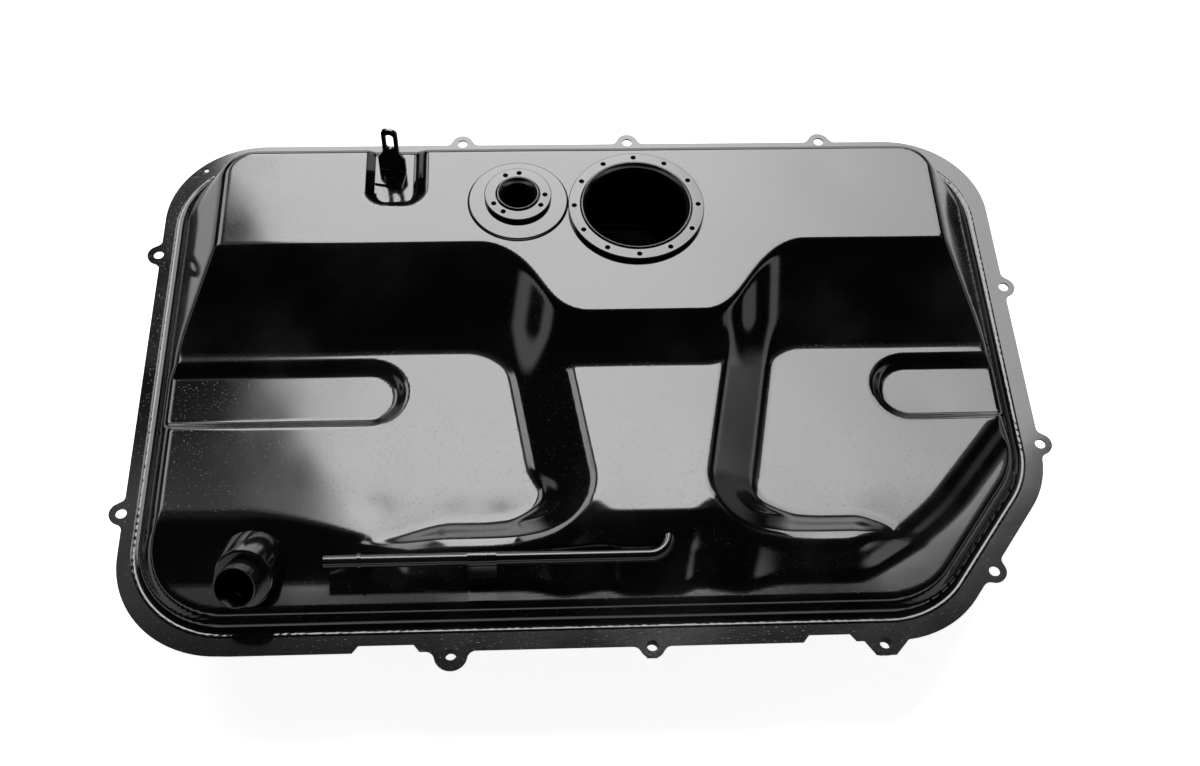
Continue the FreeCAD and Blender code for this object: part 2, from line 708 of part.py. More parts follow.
def ring_body(label, plate, bore, thick, lip, rise, circle, hole, seats, repeats, turn, x, y, z):
    """A flat ring with a raised lip round its bore and holes on a circle."""
    body = doc.addObject("PartDesign::Body", label)
    body.Label = label
    flat = sketch_on(body, "XY_Plane", f"{label}_flat")
    circle_in(flat, "0", "0", plate)
    circle_in(flat, "0", "0", bore)
    pad = body.newObject("PartDesign::Pad", f"{label}_pad")
    pad.Profile = flat
    bind(pad, "Length", thick)
    raised = sketch_on(body, "XY_Plane", f"{label}_lip")
    circle_in(raised, "0", "0", lip)
    circle_in(raised, "0", "0", bore)
    top = body.newObject("PartDesign::Pad", f"{label}_lip_pad")
    top.Profile = raised
    bind(top, "Length", f"{thick} + {rise}")
    drilled = sketch_on(body, "XY_Plane", f"{label}_holes")
    for across, ahead in seats:
        circle_in(drilled, circle if across else "0", circle if ahead else "0", hole)
    pocket = body.newObject("PartDesign::Pocket", f"{label}_pocket")
    pocket.Profile = drilled
    pocket.Type = "Length"
    pocket.Midplane = True
    bind(pocket, "Length", f"4 * {thick}")
    pattern = body.newObject("PartDesign::PolarPattern", f"{label}_pattern")
    pattern.Originals = [pocket]
    pattern.Axis = (drilled, ["N_Axis"])
    pattern.Angle = 360
    bind(pattern, "Occurrences", repeats)
    body.Tip = pattern
    body.Placement = FreeCAD.Placement(V(), FreeCAD.Rotation(Z_AXIS, turn))
    bind(body, "Placement.Base.x", x)
    bind(body, "Placement.Base.y", y)
    bind(body, "Placement.Base.z", z)
    return body


def weld_nuts(label, places, z, flats, high, bore):
    """Hexagonal weld nuts under the sheet, one at each place; the thread is a plain twelve sided bore."""
    across = size(flats) / math.sqrt(3)
    solids = []
    for place in places:
        corners = [
            V(place.x + across * math.cos(math.radians(60 * i)), place.y + across * math.sin(math.radians(60 * i)), z)
            for i in range(7)
        ]
        corners[6] = corners[0]
        nut = Part.Face(Part.makePolygon(corners)).extrude(V(0, 0, size(high)))
        wide = size(bore) / math.cos(math.radians(15))
        rim = [
            V(place.x + wide * math.cos(math.radians(30 * i)), place.y + wide * math.sin(math.radians(30 * i)), z - 2)
            for i in range(13)
        ]
        rim[12] = rim[0]
        solids.append(nut.cut(Part.Face(Part.makePolygon(rim)).extrude(V(0, 0, size(high) + 4))))
    thing = doc.addObject("Part::Feature", label)
    thing.Label = label
    thing.Shape = Part.makeCompound(solids)
    return thing


nodes = {}

# The two pressed shells

for label, shape in (("upper_shell", upper_shell_shape), ("lower_shell", lower_shell_shape)):
    thing = doc.addObject("Part::Feature", label)
    thing.Label = label
    thing.Shape = shape()
    nodes[label] = thing

# Rings of the pump and the sender

plateau_top = "{lower_depth} + {upper_height}"
nodes["pump_ring"] = ring_body(
    "pump_ring", "{pump_plate}", "{pump_bore}", "{pump_thick}", "{pump_lip}", "{pump_lip_rise}",
    "{pump_circle}", "{pump_hole}", [(0, 1)], "{pump_bolts}", 0, "{pump_x}", "{pump_y}", plateau_top)
nodes["sender_ring"] = ring_body(
    "sender_ring", "{sender_plate}", "{sender_bore}", "{sender_thick}", "{sender_lip}", "{sender_lip_rise}",
    "{sender_circle}", "{sender_hole}", [(1, 0), (0, 1)], "3", size("sender_turn"),
    "{sender_x}", "{sender_y}", plateau_top + " + {pad_height}")

under = LEVEL + size("upper_height") - SHEET - size("nut_high")
nodes["pump_ring_weld_nuts"] = weld_nuts(
    "pump_ring_weld_nuts", pump_places, under, "nut_flats", "nut_high", "nut_bore")
nodes["sender_ring_weld_nuts"] = weld_nuts(
    "sender_ring_weld_nuts", sender_places, under + size("pad_height"), "nut_flats", "nut_high", "nut_bore")

front_ears = [V(*ear_places()[i], 0) for i in (6, 7, 8)]
nodes["front_ear_weld_nuts"] = weld_nuts(
    "front_ear_weld_nuts", front_ears, LEVEL - SHEET - size("ear_nut_high"), "ear_nut_flats", "ear_nut_high", "ear_nut_bore")

# Rear bracket with its weld nut


def bracket_shape():
    thick = size("bracket_thick")
    half = size("bracket_wide") / 2
    strap = size("bracket_strap") / 2
    high = size("bracket_high")
    body_high = size("bracket_body")
    side = [V(-half, 0, 0), V(half, 0, 0), V(half, 0, body_high - 6), V(strap, 0, body_high + 4), V(strap, 0, high)]
    side += [V(-strap, 0, high), V(-strap, 0, body_high + 4), V(-half, 0, body_high - 6), V(-half, 0, 0)]
    plate = Part.Face(Part.makePolygon(side)).extrude(V(0, thick, 0))
    tips = [
        edge for edge in plate.Edges
        if abs(edge.Length - thick) < 1e-6 and all(abs(corner.Point.z - high) < 1e-6 for corner in edge.Vertexes)
    ]
    plate = plate.makeFillet(strap - 2, tips)
    foot = Part.makeBox(2 * half, size("bracket_foot"), thick, V(-half, -size("bracket_foot") + thick, 0))
    whole = plate.fuse(foot).removeSplitter()
    bend = [
        edge for edge in whole.Edges
        if edge.Length > 20 and all(
            abs(corner.Point.z) < 1e-6 and abs(corner.Point.y - thick) < 1e-6 for corner in edge.Vertexes)
    ]
    whole = whole.makeFillet(thick * 1.4, bend)
    inner = [
        edge for edge in whole.Edges
        if edge.Length > 20 and all(
            abs(corner.Point.z - thick) < 1e-6 and abs(corner.Point.y) < 1e-6 for corner in edge.Vertexes)
    ]
    whole = whole.makeFillet(1.0, inner)
    slot_radius = size("slot_wide") / 2
    low = size("slot_low") + slot_radius
    up = size("slot_low") + size("slot_long") - slot_radius
    ends = [Part.makeCylinder(slot_radius, 20, V(0, -10, z), V(0, 1, 0)) for z in (low, up)]
    middle = Part.makeBox(2 * slot_radius, 20, up - low, V(-slot_radius, -10, low))
    whole = whole.cut(ends[0].multiFuse([ends[1], middle]))
    hole = Part.makeCylinder(2.6, 20, V(0, -size("bracket_foot") / 2, -5))
    return whole.cut(hole)


bracket_floor = LEVEL + size("upper_height") - size("pocket_depth")
bracket_place = FreeCAD.Placement(
    V(size("bracket_x"), size("bracket_y"), bracket_floor), FreeCAD.Rotation(Z_AXIS, size("bracket_turn")))
bracket = doc.addObject("Part::Feature", "rear_bracket")
bracket.Label = "rear_bracket"
bracket.Shape = bracket_shape()
bracket.Placement = bracket_place
nodes["rear_bracket"] = bracket

nut = doc.addObject("Part::Feature", "rear_bracket_nut")
nut.Label = "rear_bracket_nut"
nut_shape = Part.makeCylinder(5.5, 5).cut(Part.makeCylinder(2.6, 9, V(0, 0, -2)))
nut.Shape = nut_shape
nut.Placement = bracket_place.multiply(
    FreeCAD.Placement(V(0, -size("bracket_foot") / 2, size("bracket_thick")), FreeCAD.Rotation()))
nodes["rear_bracket_nut"] = nut

# Filler stub and its collar, turned about the filler's axis

filler_place = FreeCAD.Placement(
    filler_point + V(0, 0, LEVEL), FreeCAD.Rotation(Z_AXIS, filler_axis))


def turned(label, profile):
    """A solid turned about its own upright axis; the profile is radius and height pairs."""
    points = [V(radius, 0, height) for radius, height in profile]
    face = Part.Face(Part.makePolygon(points + [points[0]]))
    thing = doc.addObject("Part::Feature", label)
    thing.Label = label
    thing.Shape = face.revolve(V(0, 0, 0), Z_AXIS, 360)
    return thing


stub_out = size("filler_radius")
stub_in = stub_out - size("filler_wall")
seat_high = size("filler_seat")
mouth = size("filler_mouth")
neck = stub_out - size("filler_step")
collar_top = seat_high + size("collar_thick")
stub = turned("filler_stub", [
    (stub_in, seat_high - 14), (neck, seat_high - 14), (neck, collar_top), (stub_out, collar_top),
    (stub_out, mouth), (stub_in, mouth)])
stub.Placement = filler_place
nodes["filler_stub"] = stub
collar = turned("filler_stub_collar", [
    (neck, seat_high), (size("collar_radius"), seat_high), (size("collar_radius"), collar_top), (neck, collar_top)])
collar.Placement = filler_place
nodes["filler_stub_collar"] = collar

# Breather pipe and its clip

pipe = doc.addObject("Part::Feature", "breather_pipe")
pipe.Label = "breather_pipe"
pipe_shape = pipe_solid(size("pipe_radius"), 0).cut(pipe_solid(size("pipe_radius") - size("pipe_wall"), 1))
stop = V(size("pipe_left") + size("pipe_seat"), size("pipe_y"), size("pipe_z"))
stop_ring = Part.makeCylinder(size("pipe_radius") + size("pipe_stop"), size("pipe_stop_long"), stop, V(1, 0, 0))
stop_bore = Part.makeCylinder(size("pipe_radius") - 0.5, size("pipe_stop_long"), stop, V(1, 0, 0))
pipe_shape = pipe_shape.fuse(stop_ring.cut(stop_bore)).removeSplitter()
pipe_shape.translate(V(0, 0, LEVEL))
pipe.Shape = pipe_shape.Solids[0]
nodes["breather_pipe"] = pipe


def clip_shape():
    """A strap that wraps the pipe from the front and slopes down to a foot on the ledge."""
    y = size("pipe_y")
    z = size("pipe_z")
    radius = size("pipe_radius")
    thick = size("clip_thick")
    ledge = size("ledge_height")
    knee = size("clip_foot_y")
    left = size("clip_x") - size("clip_wide") / 2
    wide = size("clip_wide")
    ring = Part.makeCylinder(radius + thick, wide, V(left, y, z), V(1, 0, 0))
    hole = Part.makeCylinder(radius, wide + 4, V(left - 2, y, z), V(1, 0, 0))
    back = Part.makeBox(wide + 4, 30, 60, V(left - 2, y + 2, z - 30))
    front = y - radius
    profile = [
        (front, z), (front - thick, z), (knee - thick, ledge + thick), (knee - 16, ledge + thick),
        (knee - 16, ledge), (knee, ledge), (front, z),
    ]
    strap = Part.Face(Part.makePolygon([V(left, py, pz) for py, pz in profile])).extrude(V(wide, 0, 0))
    below = Part.makeBox(wide + 4, 30, 20, V(left - 2, y - radius - thick + 1, z - radius - 21))
    clip = ring.cut(below).fuse(strap).cut(hole).cut(back).removeSplitter()
    clip.translate(V(0, 0, LEVEL))
    return clip.Solids[0]


clip = doc.addObject("Part::Feature", "pipe_clip")
clip.Label = "pipe_clip"
clip.Shape = clip_shape()
nodes["pipe_clip"] = clip

# Baffles on the floor, each with a bent foot and flow holes


def baffle_body(label, x):
    body = doc.addObject("PartDesign::Body", label)
    body.Label = label
    side = sketch_on(body, "XZ_Plane", f"{label}_side")
    corners = [V(0, 0, 0), V(15, 0, 0), V(15, 1.2, 0), V(1.2, 1.2, 0), V(1.2, 68, 0), V(0, 68, 0)]
    for i in range(6):
        side.addGeometry(Part.LineSegment(corners[i], corners[(i + 1) % 6]), False)
    for i in range(6):
        side.addConstraint(Sketcher.Constraint("Coincident", i, 2, (i + 1) % 6, 1))
    for i in (0, 2, 4):
        side.addConstraint(Sketcher.Constraint("Horizontal", i))
    for i in (1, 3, 5):
        side.addConstraint(Sketcher.Constraint("Vertical", i))
    side.addConstraint(Sketcher.Constraint("Coincident", 0, 1, -1, 1))
    for index, kind, formula, start in (
        (0, "DistanceX", "{baffle_foot}", 15.0), (1, "DistanceY", "{baffle_thick}", 1.2),
        (3, "DistanceY", "{baffle_high} - {baffle_thick}", 66.8), (4, "DistanceX", "{baffle_thick}", 1.2),
    ):
        first, second = (2, 1) if index == 4 else (1, 2)
        rule = side.addConstraint(Sketcher.Constraint(kind, index, first, index, second, start))
        bind(side, f"Constraints[{rule}]", formula)
    pad = body.newObject("PartDesign::Pad", f"{label}_pad")
    pad.Profile = side
    pad.Midplane = True
    bind(pad, "Length", "2 * {baffle_half}")
    front = sketch_on(body, "YZ_Plane", f"{label}_holes")
    middle = int(size("baffle_holes")) // 2
    for i in range(int(size("baffle_holes"))):
        step = i - middle
        across = "0" if step == 0 else f"{step} * 2 * {{baffle_half}} / ({{baffle_holes}} + 0.4)"
        circle_in(front, across, "{baffle_high} * 0.5", "{baffle_hole}")
    pocket = body.newObject("PartDesign::Pocket", f"{label}_pocket")
    pocket.Profile = front
    pocket.Type = "Length"
    pocket.Midplane = True
    pocket.Length = 10
    body.Tip = pocket
    bind(body, "Placement.Base.x", x)
    bind(body, "Placement.Base.z", "{sheet_thick}")
    return body


nodes["baffle_left"] = baffle_body("baffle_left", "{baffle_left_x}")
nodes["baffle_right"] = baffle_body("baffle_right", "{baffle_right_x}")

# Swirl pot under the pump opening

floor_z = "{sheet_thick}"
pot_outside = primitive(
    "Cylinder", "pot_outside", {"Radius": "{pot_radius}", "Height": "{pot_high}"}, ("{pump_x}", "{pump_y}", floor_z))
pot_inside = primitive(
    "Cylinder", "pot_inside", {"Radius": "{pot_radius} - {pot_wall}", "Height": "{pot_high}"},
    ("{pump_x}", "{pump_y}", floor_z + " + {pot_wall}"))
pot_port = primitive(
    "Box", "pot_port", {"Length": "22 mm", "Width": "20 mm", "Height": "12 mm"},
    ("{pump_x} - 11", "{pump_y} - {pot_radius} - 10", floor_z + " + {pot_wall} + 3"))
pot_shell = joined("Cut", "pot_shell", pot_outside, pot_inside)
swirl_pot = joined("Cut", "swirl_pot", pot_shell, pot_port)
nodes["swirl_pot"] = swirl_pot

# Drain: welded boss inside, plug and washer in the recess outside

roof = "{drain_deep} + {sheet_thick}"
boss_outside = primitive(
    "Cylinder", "boss_outside", {"Radius": "{drain_radius} + 5", "Height": "10 mm"}, ("{drain_x}", "{drain_y}", roof))
boss_bore = primitive(
    "Cylinder", "boss_bore", {"Radius": "{drain_radius}", "Height": "20 mm"},
    ("{drain_x}", "{drain_y}", roof + " - 5"))
nodes["drain_boss"] = joined("Cut", "drain_boss", boss_outside, boss_bore)
washer_outside = primitive(
    "Cylinder", "washer_outside", {"Radius": "{drain_radius} + 5", "Height": "1.5 mm"},
    ("{drain_x}", "{drain_y}", "{drain_deep} - 1.5"))
washer_bore = primitive(
    "Cylinder", "washer_bore", {"Radius": "{drain_radius}", "Height": "20 mm"},
    ("{drain_x}", "{drain_y}", "{drain_deep} - 10"))
nodes["drain_washer"] = joined("Cut", "drain_washer", washer_outside, washer_bore)
plug_head = primitive(
    "Prism", "plug_head", {"Circumradius": "{drain_radius} + 3.5", "Height": "7 mm"},
    ("{drain_x}", "{drain_y}", "{drain_deep} - 8.5"))
plug_head.Polygon = 6
plug_shank = primitive(
    "Cylinder", "plug_shank", {"Radius": "{drain_radius}", "Height": "11 mm"},
    ("{drain_x}", "{drain_y}", "{drain_deep} - 1.5"))
nodes["drain_plug"] = joined("MultiFuse", "drain_plug", plug_head, [plug_shank])

doc.recompute()

faults = []
for thing in doc.Objects:
    state = " ".join(thing.State)
    if "Invalid" in state or "Error" in state:
        faults.append(f"{thing.Label}: {state} {thing.getStatusString()}")
    shape = getattr(thing, "Shape", None)
    if shape is not None and thing.Label in nodes:
        if shape.isNull() or not shape.isValid():
            faults.append(f"{thing.Label}: null or invalid shape")
if faults:
    raise RuntimeError("; ".join(faults))

os.makedirs("parts", exist_ok=True)
for label, thing in nodes.items():
    thing.Shape.exportStep(f"parts/{label}.step")
    print(label, len(thing.Shape.Solids), round(thing.Shape.Volume), len(thing.Shape.tessellate(0.2)[1]))
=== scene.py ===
import bpy
import json
import math
import numpy as np
from mathutils import Matrix, Vector


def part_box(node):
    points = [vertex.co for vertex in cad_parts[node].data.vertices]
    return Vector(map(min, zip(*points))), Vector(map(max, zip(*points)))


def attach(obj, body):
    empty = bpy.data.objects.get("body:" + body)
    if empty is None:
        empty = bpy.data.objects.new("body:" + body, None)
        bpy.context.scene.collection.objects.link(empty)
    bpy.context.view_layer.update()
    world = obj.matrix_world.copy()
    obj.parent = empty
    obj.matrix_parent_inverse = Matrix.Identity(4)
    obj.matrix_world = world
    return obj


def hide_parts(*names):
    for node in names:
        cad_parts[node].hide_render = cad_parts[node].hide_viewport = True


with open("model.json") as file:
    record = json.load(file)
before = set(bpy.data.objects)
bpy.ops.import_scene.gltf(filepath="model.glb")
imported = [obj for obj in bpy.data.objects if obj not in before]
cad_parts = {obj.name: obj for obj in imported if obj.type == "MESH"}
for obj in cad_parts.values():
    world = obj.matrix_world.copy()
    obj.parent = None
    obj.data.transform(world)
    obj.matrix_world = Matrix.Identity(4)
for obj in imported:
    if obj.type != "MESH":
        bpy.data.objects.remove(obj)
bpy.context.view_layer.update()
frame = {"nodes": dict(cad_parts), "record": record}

# Sizes in metres, worked out from the frame
FLOOR_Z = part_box("lower_shell")[0][2]
PARTING_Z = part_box("lower_shell")[1][2]

# Camera, measured in the tank's frame
CAMERA_PLACE = (-0.0642, -0.8575, 1.3736)
CAMERA_PITCH = math.radians(56.691)
CAMERA_YAW = math.radians(-5.132)
CAMERA_ROLL = math.radians(3.364)
CAMERA_LENS = 46.5


def place_camera():
    """Aim the camera from its pitch below the horizon, its yaw and its roll."""
    forward = Vector((
        -math.sin(CAMERA_YAW) * math.cos(CAMERA_PITCH),
        math.cos(CAMERA_YAW) * math.cos(CAMERA_PITCH),
        -math.sin(CAMERA_PITCH),
    ))
    level = Vector((math.cos(CAMERA_YAW), math.sin(CAMERA_YAW), 0))
    over = level.cross(forward)
    right = level * math.cos(CAMERA_ROLL) + over * math.sin(CAMERA_ROLL)
    up = over * math.cos(CAMERA_ROLL) - level * math.sin(CAMERA_ROLL)
    lens = bpy.data.cameras.new("photo_camera")
    lens.lens = CAMERA_LENS
    lens.sensor_width = 36
    lens.clip_start = 0.05
    camera = bpy.data.objects.new("photo_camera", lens)
    turn = Matrix((right, up, -forward)).transposed().to_4x4()
    camera.matrix_world = Matrix.Translation(CAMERA_PLACE) @ turn
    bpy.context.collection.objects.link(camera)
    bpy.context.scene.camera = camera
    bpy.context.scene.view_settings.view_transform = "Standard"


# Node helpers


class Shader:
    """Short calls for adding and joining nodes in one tree."""

    def __init__(self, tree):
        self.tree = tree

    def add(self, kind, **inputs):
        node = self.tree.nodes.new(kind)
        for name, value in inputs.items():
            key = name.replace("_", " ")
            if hasattr(node, name):
                setattr(node, name, value)
            elif isinstance(value, bpy.types.NodeSocket):
                self.tree.links.new(value, node.inputs[key])
            else:
                node.inputs[key].default_value = value
        return node

    def join(self, source, target):
        self.tree.links.new(source, target)

    def math(self, operation, first, second=0.0, clamp=False):
        node = self.tree.nodes.new("ShaderNodeMath")
        node.operation = operation
        node.use_clamp = clamp
        for socket, value in zip(node.inputs, (first, second)):
            if isinstance(value, bpy.types.NodeSocket):
                self.tree.links.new(value, socket)
            else:
                socket.default_value = value
        return node.outputs[0]

    def product(self, first, *others):
        for other in others:
            first = self.math("MULTIPLY", first, other)
        return first

    def ramp(self, value, low, high, out_low=0.0, out_high=1.0):
        node = self.tree.nodes.new("ShaderNodeMapRange")
        node.interpolation_type = "SMOOTHSTEP"
        self.tree.links.new(value, node.inputs["Value"])
        node.inputs["From Min"].default_value = low
        node.inputs["From Max"].default_value = high
        node.inputs["To Min"].default_value = out_low
        node.inputs["To Max"].default_value = out_high
        return node.outputs["Result"]


# Pressed upper shell, in millimetres above the parting plane

WALL_FOOT = [(-418, 273), (413, 273), (413, -130.6), (305.5, -273), (-418, -273)]
WALL_CORNER = 85
RIM_OUTLINE = [(-438, 298), (438, 298), (438, -139), (318, -298), (-438, -298)]
RIM_CORNER = 100
SHEET = 1.0

# Heights of the raised forms
LEDGE = 16
CHANNEL_FLOOR = 20
DECK = 28
RAIL = 38
SADDLE = 59
POCKET_FLOOR = 74
PLATEAU = 85

# Runs of the sloping walls: how far they go sideways for each millimetre of height
WALL_RUN = 0.64
FRONT_RUN = 1.09
DECK_RIGHT_RUN = 1.6
RAIL_BACK_RUN = 2.05
SADDLE_LEFT_RUN = 1.74
SADDLE_RIGHT_RUN = 1.39
STEP_RUN = 1.35

# Top edges of the raised forms, each from start to end with the form on its right hand
FRONT_LINE = -227
DECK_LEFT_FRONT = ((-140, -227), (-285, -176))
DECK_LEFT = ((-285, -176), (-480, -176))
DECK_RIGHT = ((472, 12.8), (270.7, -227))
DECK_CORNER = ((305, -190), (243, -227))
SADDLE_LEFT = ((6, -197), (-31, 40))
SADDLE_RIGHT = ((143, 40), (96, -197))
STEP = ((480, 94), (-480, 94))
BUMP_RIGHT = ((190, 94), (131, 9))
BUMP_FRONT = ((131, 9), (-25, 9))
BUMP_LEFT = ((-25, 9), (-76, 94))

# Ears of the rim with their holes, and the screw circles of the two openings
EARS = [
    (-127, 300), (54, 300), (267, 299), (438, 95), (439, -96),
    (369, -232), (257, -301), (47, -298), (-133, -302), (-440, -153), (-440, 151),
]
EAR_RADIUS = 11.5
WIDE_EAR_RADIUS = 15
EAR_HOLE = 5.25
WIDE_EAR = 8
WINGED_EAR = 6
PUMP = (51, 137)
SENDER = (-67, 151)
SENDER_PAD = (-67, 147)
PUMP_BORE = 50.5
SENDER_BORE = 16
SCREW_HOLE = 2.75


def on_circle(center, radius, degrees):
    """The point of a circle at an angle, in degrees from the tank's right."""
    angle = math.radians(degrees)
    return center[0] + radius * math.cos(angle), center[1] + radius * math.sin(angle)


PUMP_SCREWS = [on_circle(PUMP, 62, 30 * i) for i in range(12)]
SENDER_SCREWS = [on_circle(SENDER, 27.06, degrees - 3.2) for degrees in (0, 90, 120, 210, 240, 330)]


def smooth_max(first, second, reach):
    """The larger of two fields, joined by a parabola where they differ by less than reach."""
    near = np.maximum(reach - np.abs(first - second), 0.0) / reach
    return np.maximum(first, second) + near * near * reach / 4


def smooth_min(first, second, reach):
    """The smaller of two fields, with the same round join."""
    return -smooth_max(-first, -second, reach)


def eased(part):
    """Nought below nought, one above one, and a smooth cubic between."""
    part = np.clip(part, 0, 1)
    return part * part * (3 - 2 * part)


def flat(x, height):
    """A flat field of one height."""
    return np.full(np.shape(x), float(height))


def beyond(x, y, start, end):
    """Distance outside the straight line from start to end, with the form on its right hand."""
    along = np.subtract(end, start) / math.dist(start, end)
    return (y - start[1]) * along[0] - (x - start[0]) * along[1]


def shrunk(outline, amount):
    """The clockwise outline moved inwards by one amount: each corner is where its two moved sides cross."""
    points = np.array(outline, dtype=float)
    sides = np.roll(points, -1, axis=0) - points
    sides /= np.linalg.norm(sides, axis=1)[:, None]
    inward = np.stack([sides[:, 1], -sides[:, 0]], axis=1)
    before = np.roll(inward, 1, axis=0)
    shift = (inward + before) / (1 + np.sum(inward * before, axis=1))[:, None]
    return points + shift * np.reshape(amount, (-1, 1))


def inside_distance(x, y, outline, radius):
    """Distance inwards from a clockwise outline with round corners: the radius less the distance to its core,
    which is the outline moved inwards by the radius."""
    core = shrunk(outline, radius)
    deepest = flat(x, -1e9)
    nearest = flat(x, 1e9)
    for start, end in zip(core, np.roll(core, -1, axis=0)):
        side = end - start
        part = np.clip(((x - start[0]) * side[0] + (y - start[1]) * side[1]) / (side @ side), 0, 1)
        nearest = np.minimum(nearest, np.hypot(x - start[0] - part * side[0], y - start[1] - part * side[1]))
        deepest = np.maximum(deepest, beyond(x, y, start, end))
    return radius - np.where(deepest > 0, nearest, deepest)


def corner_fall(x, y):
    """How far below the deck the slope lies that draws its front edge and the rail back before the cut
    corner."""
    return beyond(x, y, *DECK_CORNER) / FRONT_RUN


def decks(x, y):
    """The two low decks beside the saddle, with their shallow fall to the front left and right corners."""
    left = smooth_min(beyond(x, y, *DECK_LEFT_FRONT) / 2, beyond(x, y, *DECK_LEFT) / 4.5, 6)
    front = (FRONT_LINE - y) / FRONT_RUN
    right = beyond(x, y, *DECK_RIGHT) / DECK_RIGHT_RUN
    drop = smooth_max(smooth_max(left, front, 12), smooth_max(corner_fall(x, y), right, 14), 5)
    return smooth_min(flat(x, DECK), DECK - drop, 3.2)


def saddle_and_rail(x, y):
    """The saddle and the rail before the decks. Distance from both together is the nearer of the distances
    from the saddle's side and the rail's back, rounded in their hollow corner, and the top falls slowly from
    the saddle's height to the rail's as that corner is turned."""
    end_round = 15
    hollow_round = 60
    turn_about = 90
    flare = 3
    past_end = np.maximum(np.maximum((x - 276 + end_round) * 1.1, -215 + end_round - x), 0)
    behind = np.hypot(past_end, np.maximum(y + 206.1 + end_round, 0)) - end_round
    rail_top = RAIL - 8 * eased((-130 - x) / 75) - 6 * eased((x - 236) / 42)
    levels = []
    shares = []
    widths = []
    for edge, run in ((SADDLE_LEFT, SADDLE_LEFT_RUN), (SADDLE_RIGHT, SADDLE_RIGHT_RUN)):
        side = beyond(x, y, *edge)
        bend = np.hypot(np.maximum(hollow_round - side, 0), np.maximum(hollow_round - behind, 0))
        away = np.maximum(hollow_round, np.minimum(side, behind)) - bend
        turned = np.arctan2(np.maximum(turn_about - behind, 0.001), np.maximum(turn_about - side, 0.001))
        turned = np.degrees(turned)
        share = eased((turned - 36 + 0.5 * np.maximum(away - 20, 0)) / 50)
        share = 1 - share * eased((side + 14) / 14)
        top = rail_top + flare * eased((110 - side) / 70) * (1 - share)
        top = top * (1 - share) + SADDLE * share
        levels.append(smooth_min(top, top - away / (RAIL_BACK_RUN + (run - RAIL_BACK_RUN) * share), 2.6))
        shares.append(share)
        widths.append(1 - eased(side / 55))
    share = np.minimum(*shares)
    top = rail_top + (SADDLE - rail_top) * share + flare * (1 - share)
    foremost = np.maximum(-216.1 + 19.1 * np.minimum(*widths), FRONT_LINE - (x + 140) * 0.3517)
    front = top - (foremost - y) / (FRONT_RUN + 0.166 * share)
    front = smooth_min(front, DECK - corner_fall(x, y), 5)
    return smooth_min(np.minimum(*levels), front, 3.6)


def plateau(x, y):
    """The T shaped plateau: a band along the back joined to the bump round the pump."""
    band = PLATEAU - beyond(x, y, *STEP) / STEP_RUN
    bump = smooth_max(beyond(x, y, *BUMP_RIGHT) / 0.70, beyond(x, y, *BUMP_FRONT) / 1.19, 24)
    bump = smooth_max(bump, beyond(x, y, *BUMP_LEFT) / 0.88, 24)
    joined = smooth_max(band, PLATEAU - bump, 30)
    return smooth_min(flat(x, PLATEAU), joined, 3.2)


def channel(x, y, left, right, front, back):
    """A pressed channel with a flat floor and walls at 45 degrees that leave it round."""
    half = np.array([(right - left) / 2, (back - front) / 2])
    middle = ((left + right) / 2, (front + back) / 2)
    round_corner = half[1] - 0.5
    out_x = np.abs(x - middle[0]) - half[0] + round_corner
    out_y = np.abs(y - middle[1]) - half[1] + round_corner
    away = np.hypot(np.maximum(out_x, 0), np.maximum(out_y, 0)) + np.minimum(np.maximum(out_x, out_y), 0)
    return smooth_max(flat(x, CHANNEL_FLOOR), CHANNEL_FLOOR + away - round_corner, 2.5)


def form_height(x, y):
    """Height of the pressed sheet: the lower of the outer wall and the highest of the raised forms, less the
    channels and the bracket's recess, never below the flat rim."""
    high = smooth_max(flat(x, LEDGE), decks(x, y), 3)
    high = smooth_max(high, saddle_and_rail(x, y), 3.4)
    high = smooth_max(high, plateau(x, y), 14)
    high = smooth_min(high, channel(x, y, -700, -186, -69, -14), 3)
    high = smooth_min(high, channel(x, y, 284, 800, -72, -16), 3)
    recess = np.hypot(np.maximum(np.maximum(-199 - x, x + 183), 0), np.maximum(167 - y, 0)) - 13
    recess = recess * 11 / (8 + 2 * eased((x + 191) / 20))
    high = smooth_min(high, POCKET_FLOOR + smooth_max(flat(x, 0), recess, 2), 2)
    wall = inside_distance(x, y, WALL_FOOT, WALL_CORNER) / WALL_RUN
    high = smooth_min(high, wall, 4 + 4 * eased((high - 24) / 12))
    return smooth_max(flat(x, SHEET), high + worn(x, y), 4.5)


def worn(x, y):
    """Slight waves and shallow dents of thin pressed sheet: sums of slow sines and a few soft hollows."""
    wave = 0.16 * np.sin(x / 61 + 1.1 * np.sin(y / 83)) * np.sin(y / 47 + 0.6)
    wave = wave + 0.10 * np.sin((x + y) / 29 + 2)
    for place_x, place_y, wide, deep in (
        (-318, -70, 34, 0.25), (-250, -120, 26, -0.15), (-352, 120, 30, 0.12), (-300, 205, 26, -0.2),
        (330, -60, 24, 0.3), (255, -150, 30, -0.3), (60, -120, 34, 0.3), (250, 180, 30, 0.3),
        (-129, -176, 14, 0.2), (-88, -178, 14, 0.2), (-200, -168, 16, 0.35), (-165, -150, 24, -0.15),
        (-290, -150, 40, 0.2), (120, 190, 34, 0.14), (-10, 60, 30, 0.14), (170, 60, 26, -0.12),
    ):
        wave = wave - deep * np.exp(-((x - place_x) ** 2 + (y - place_y) ** 2) / wide ** 2)
    return wave


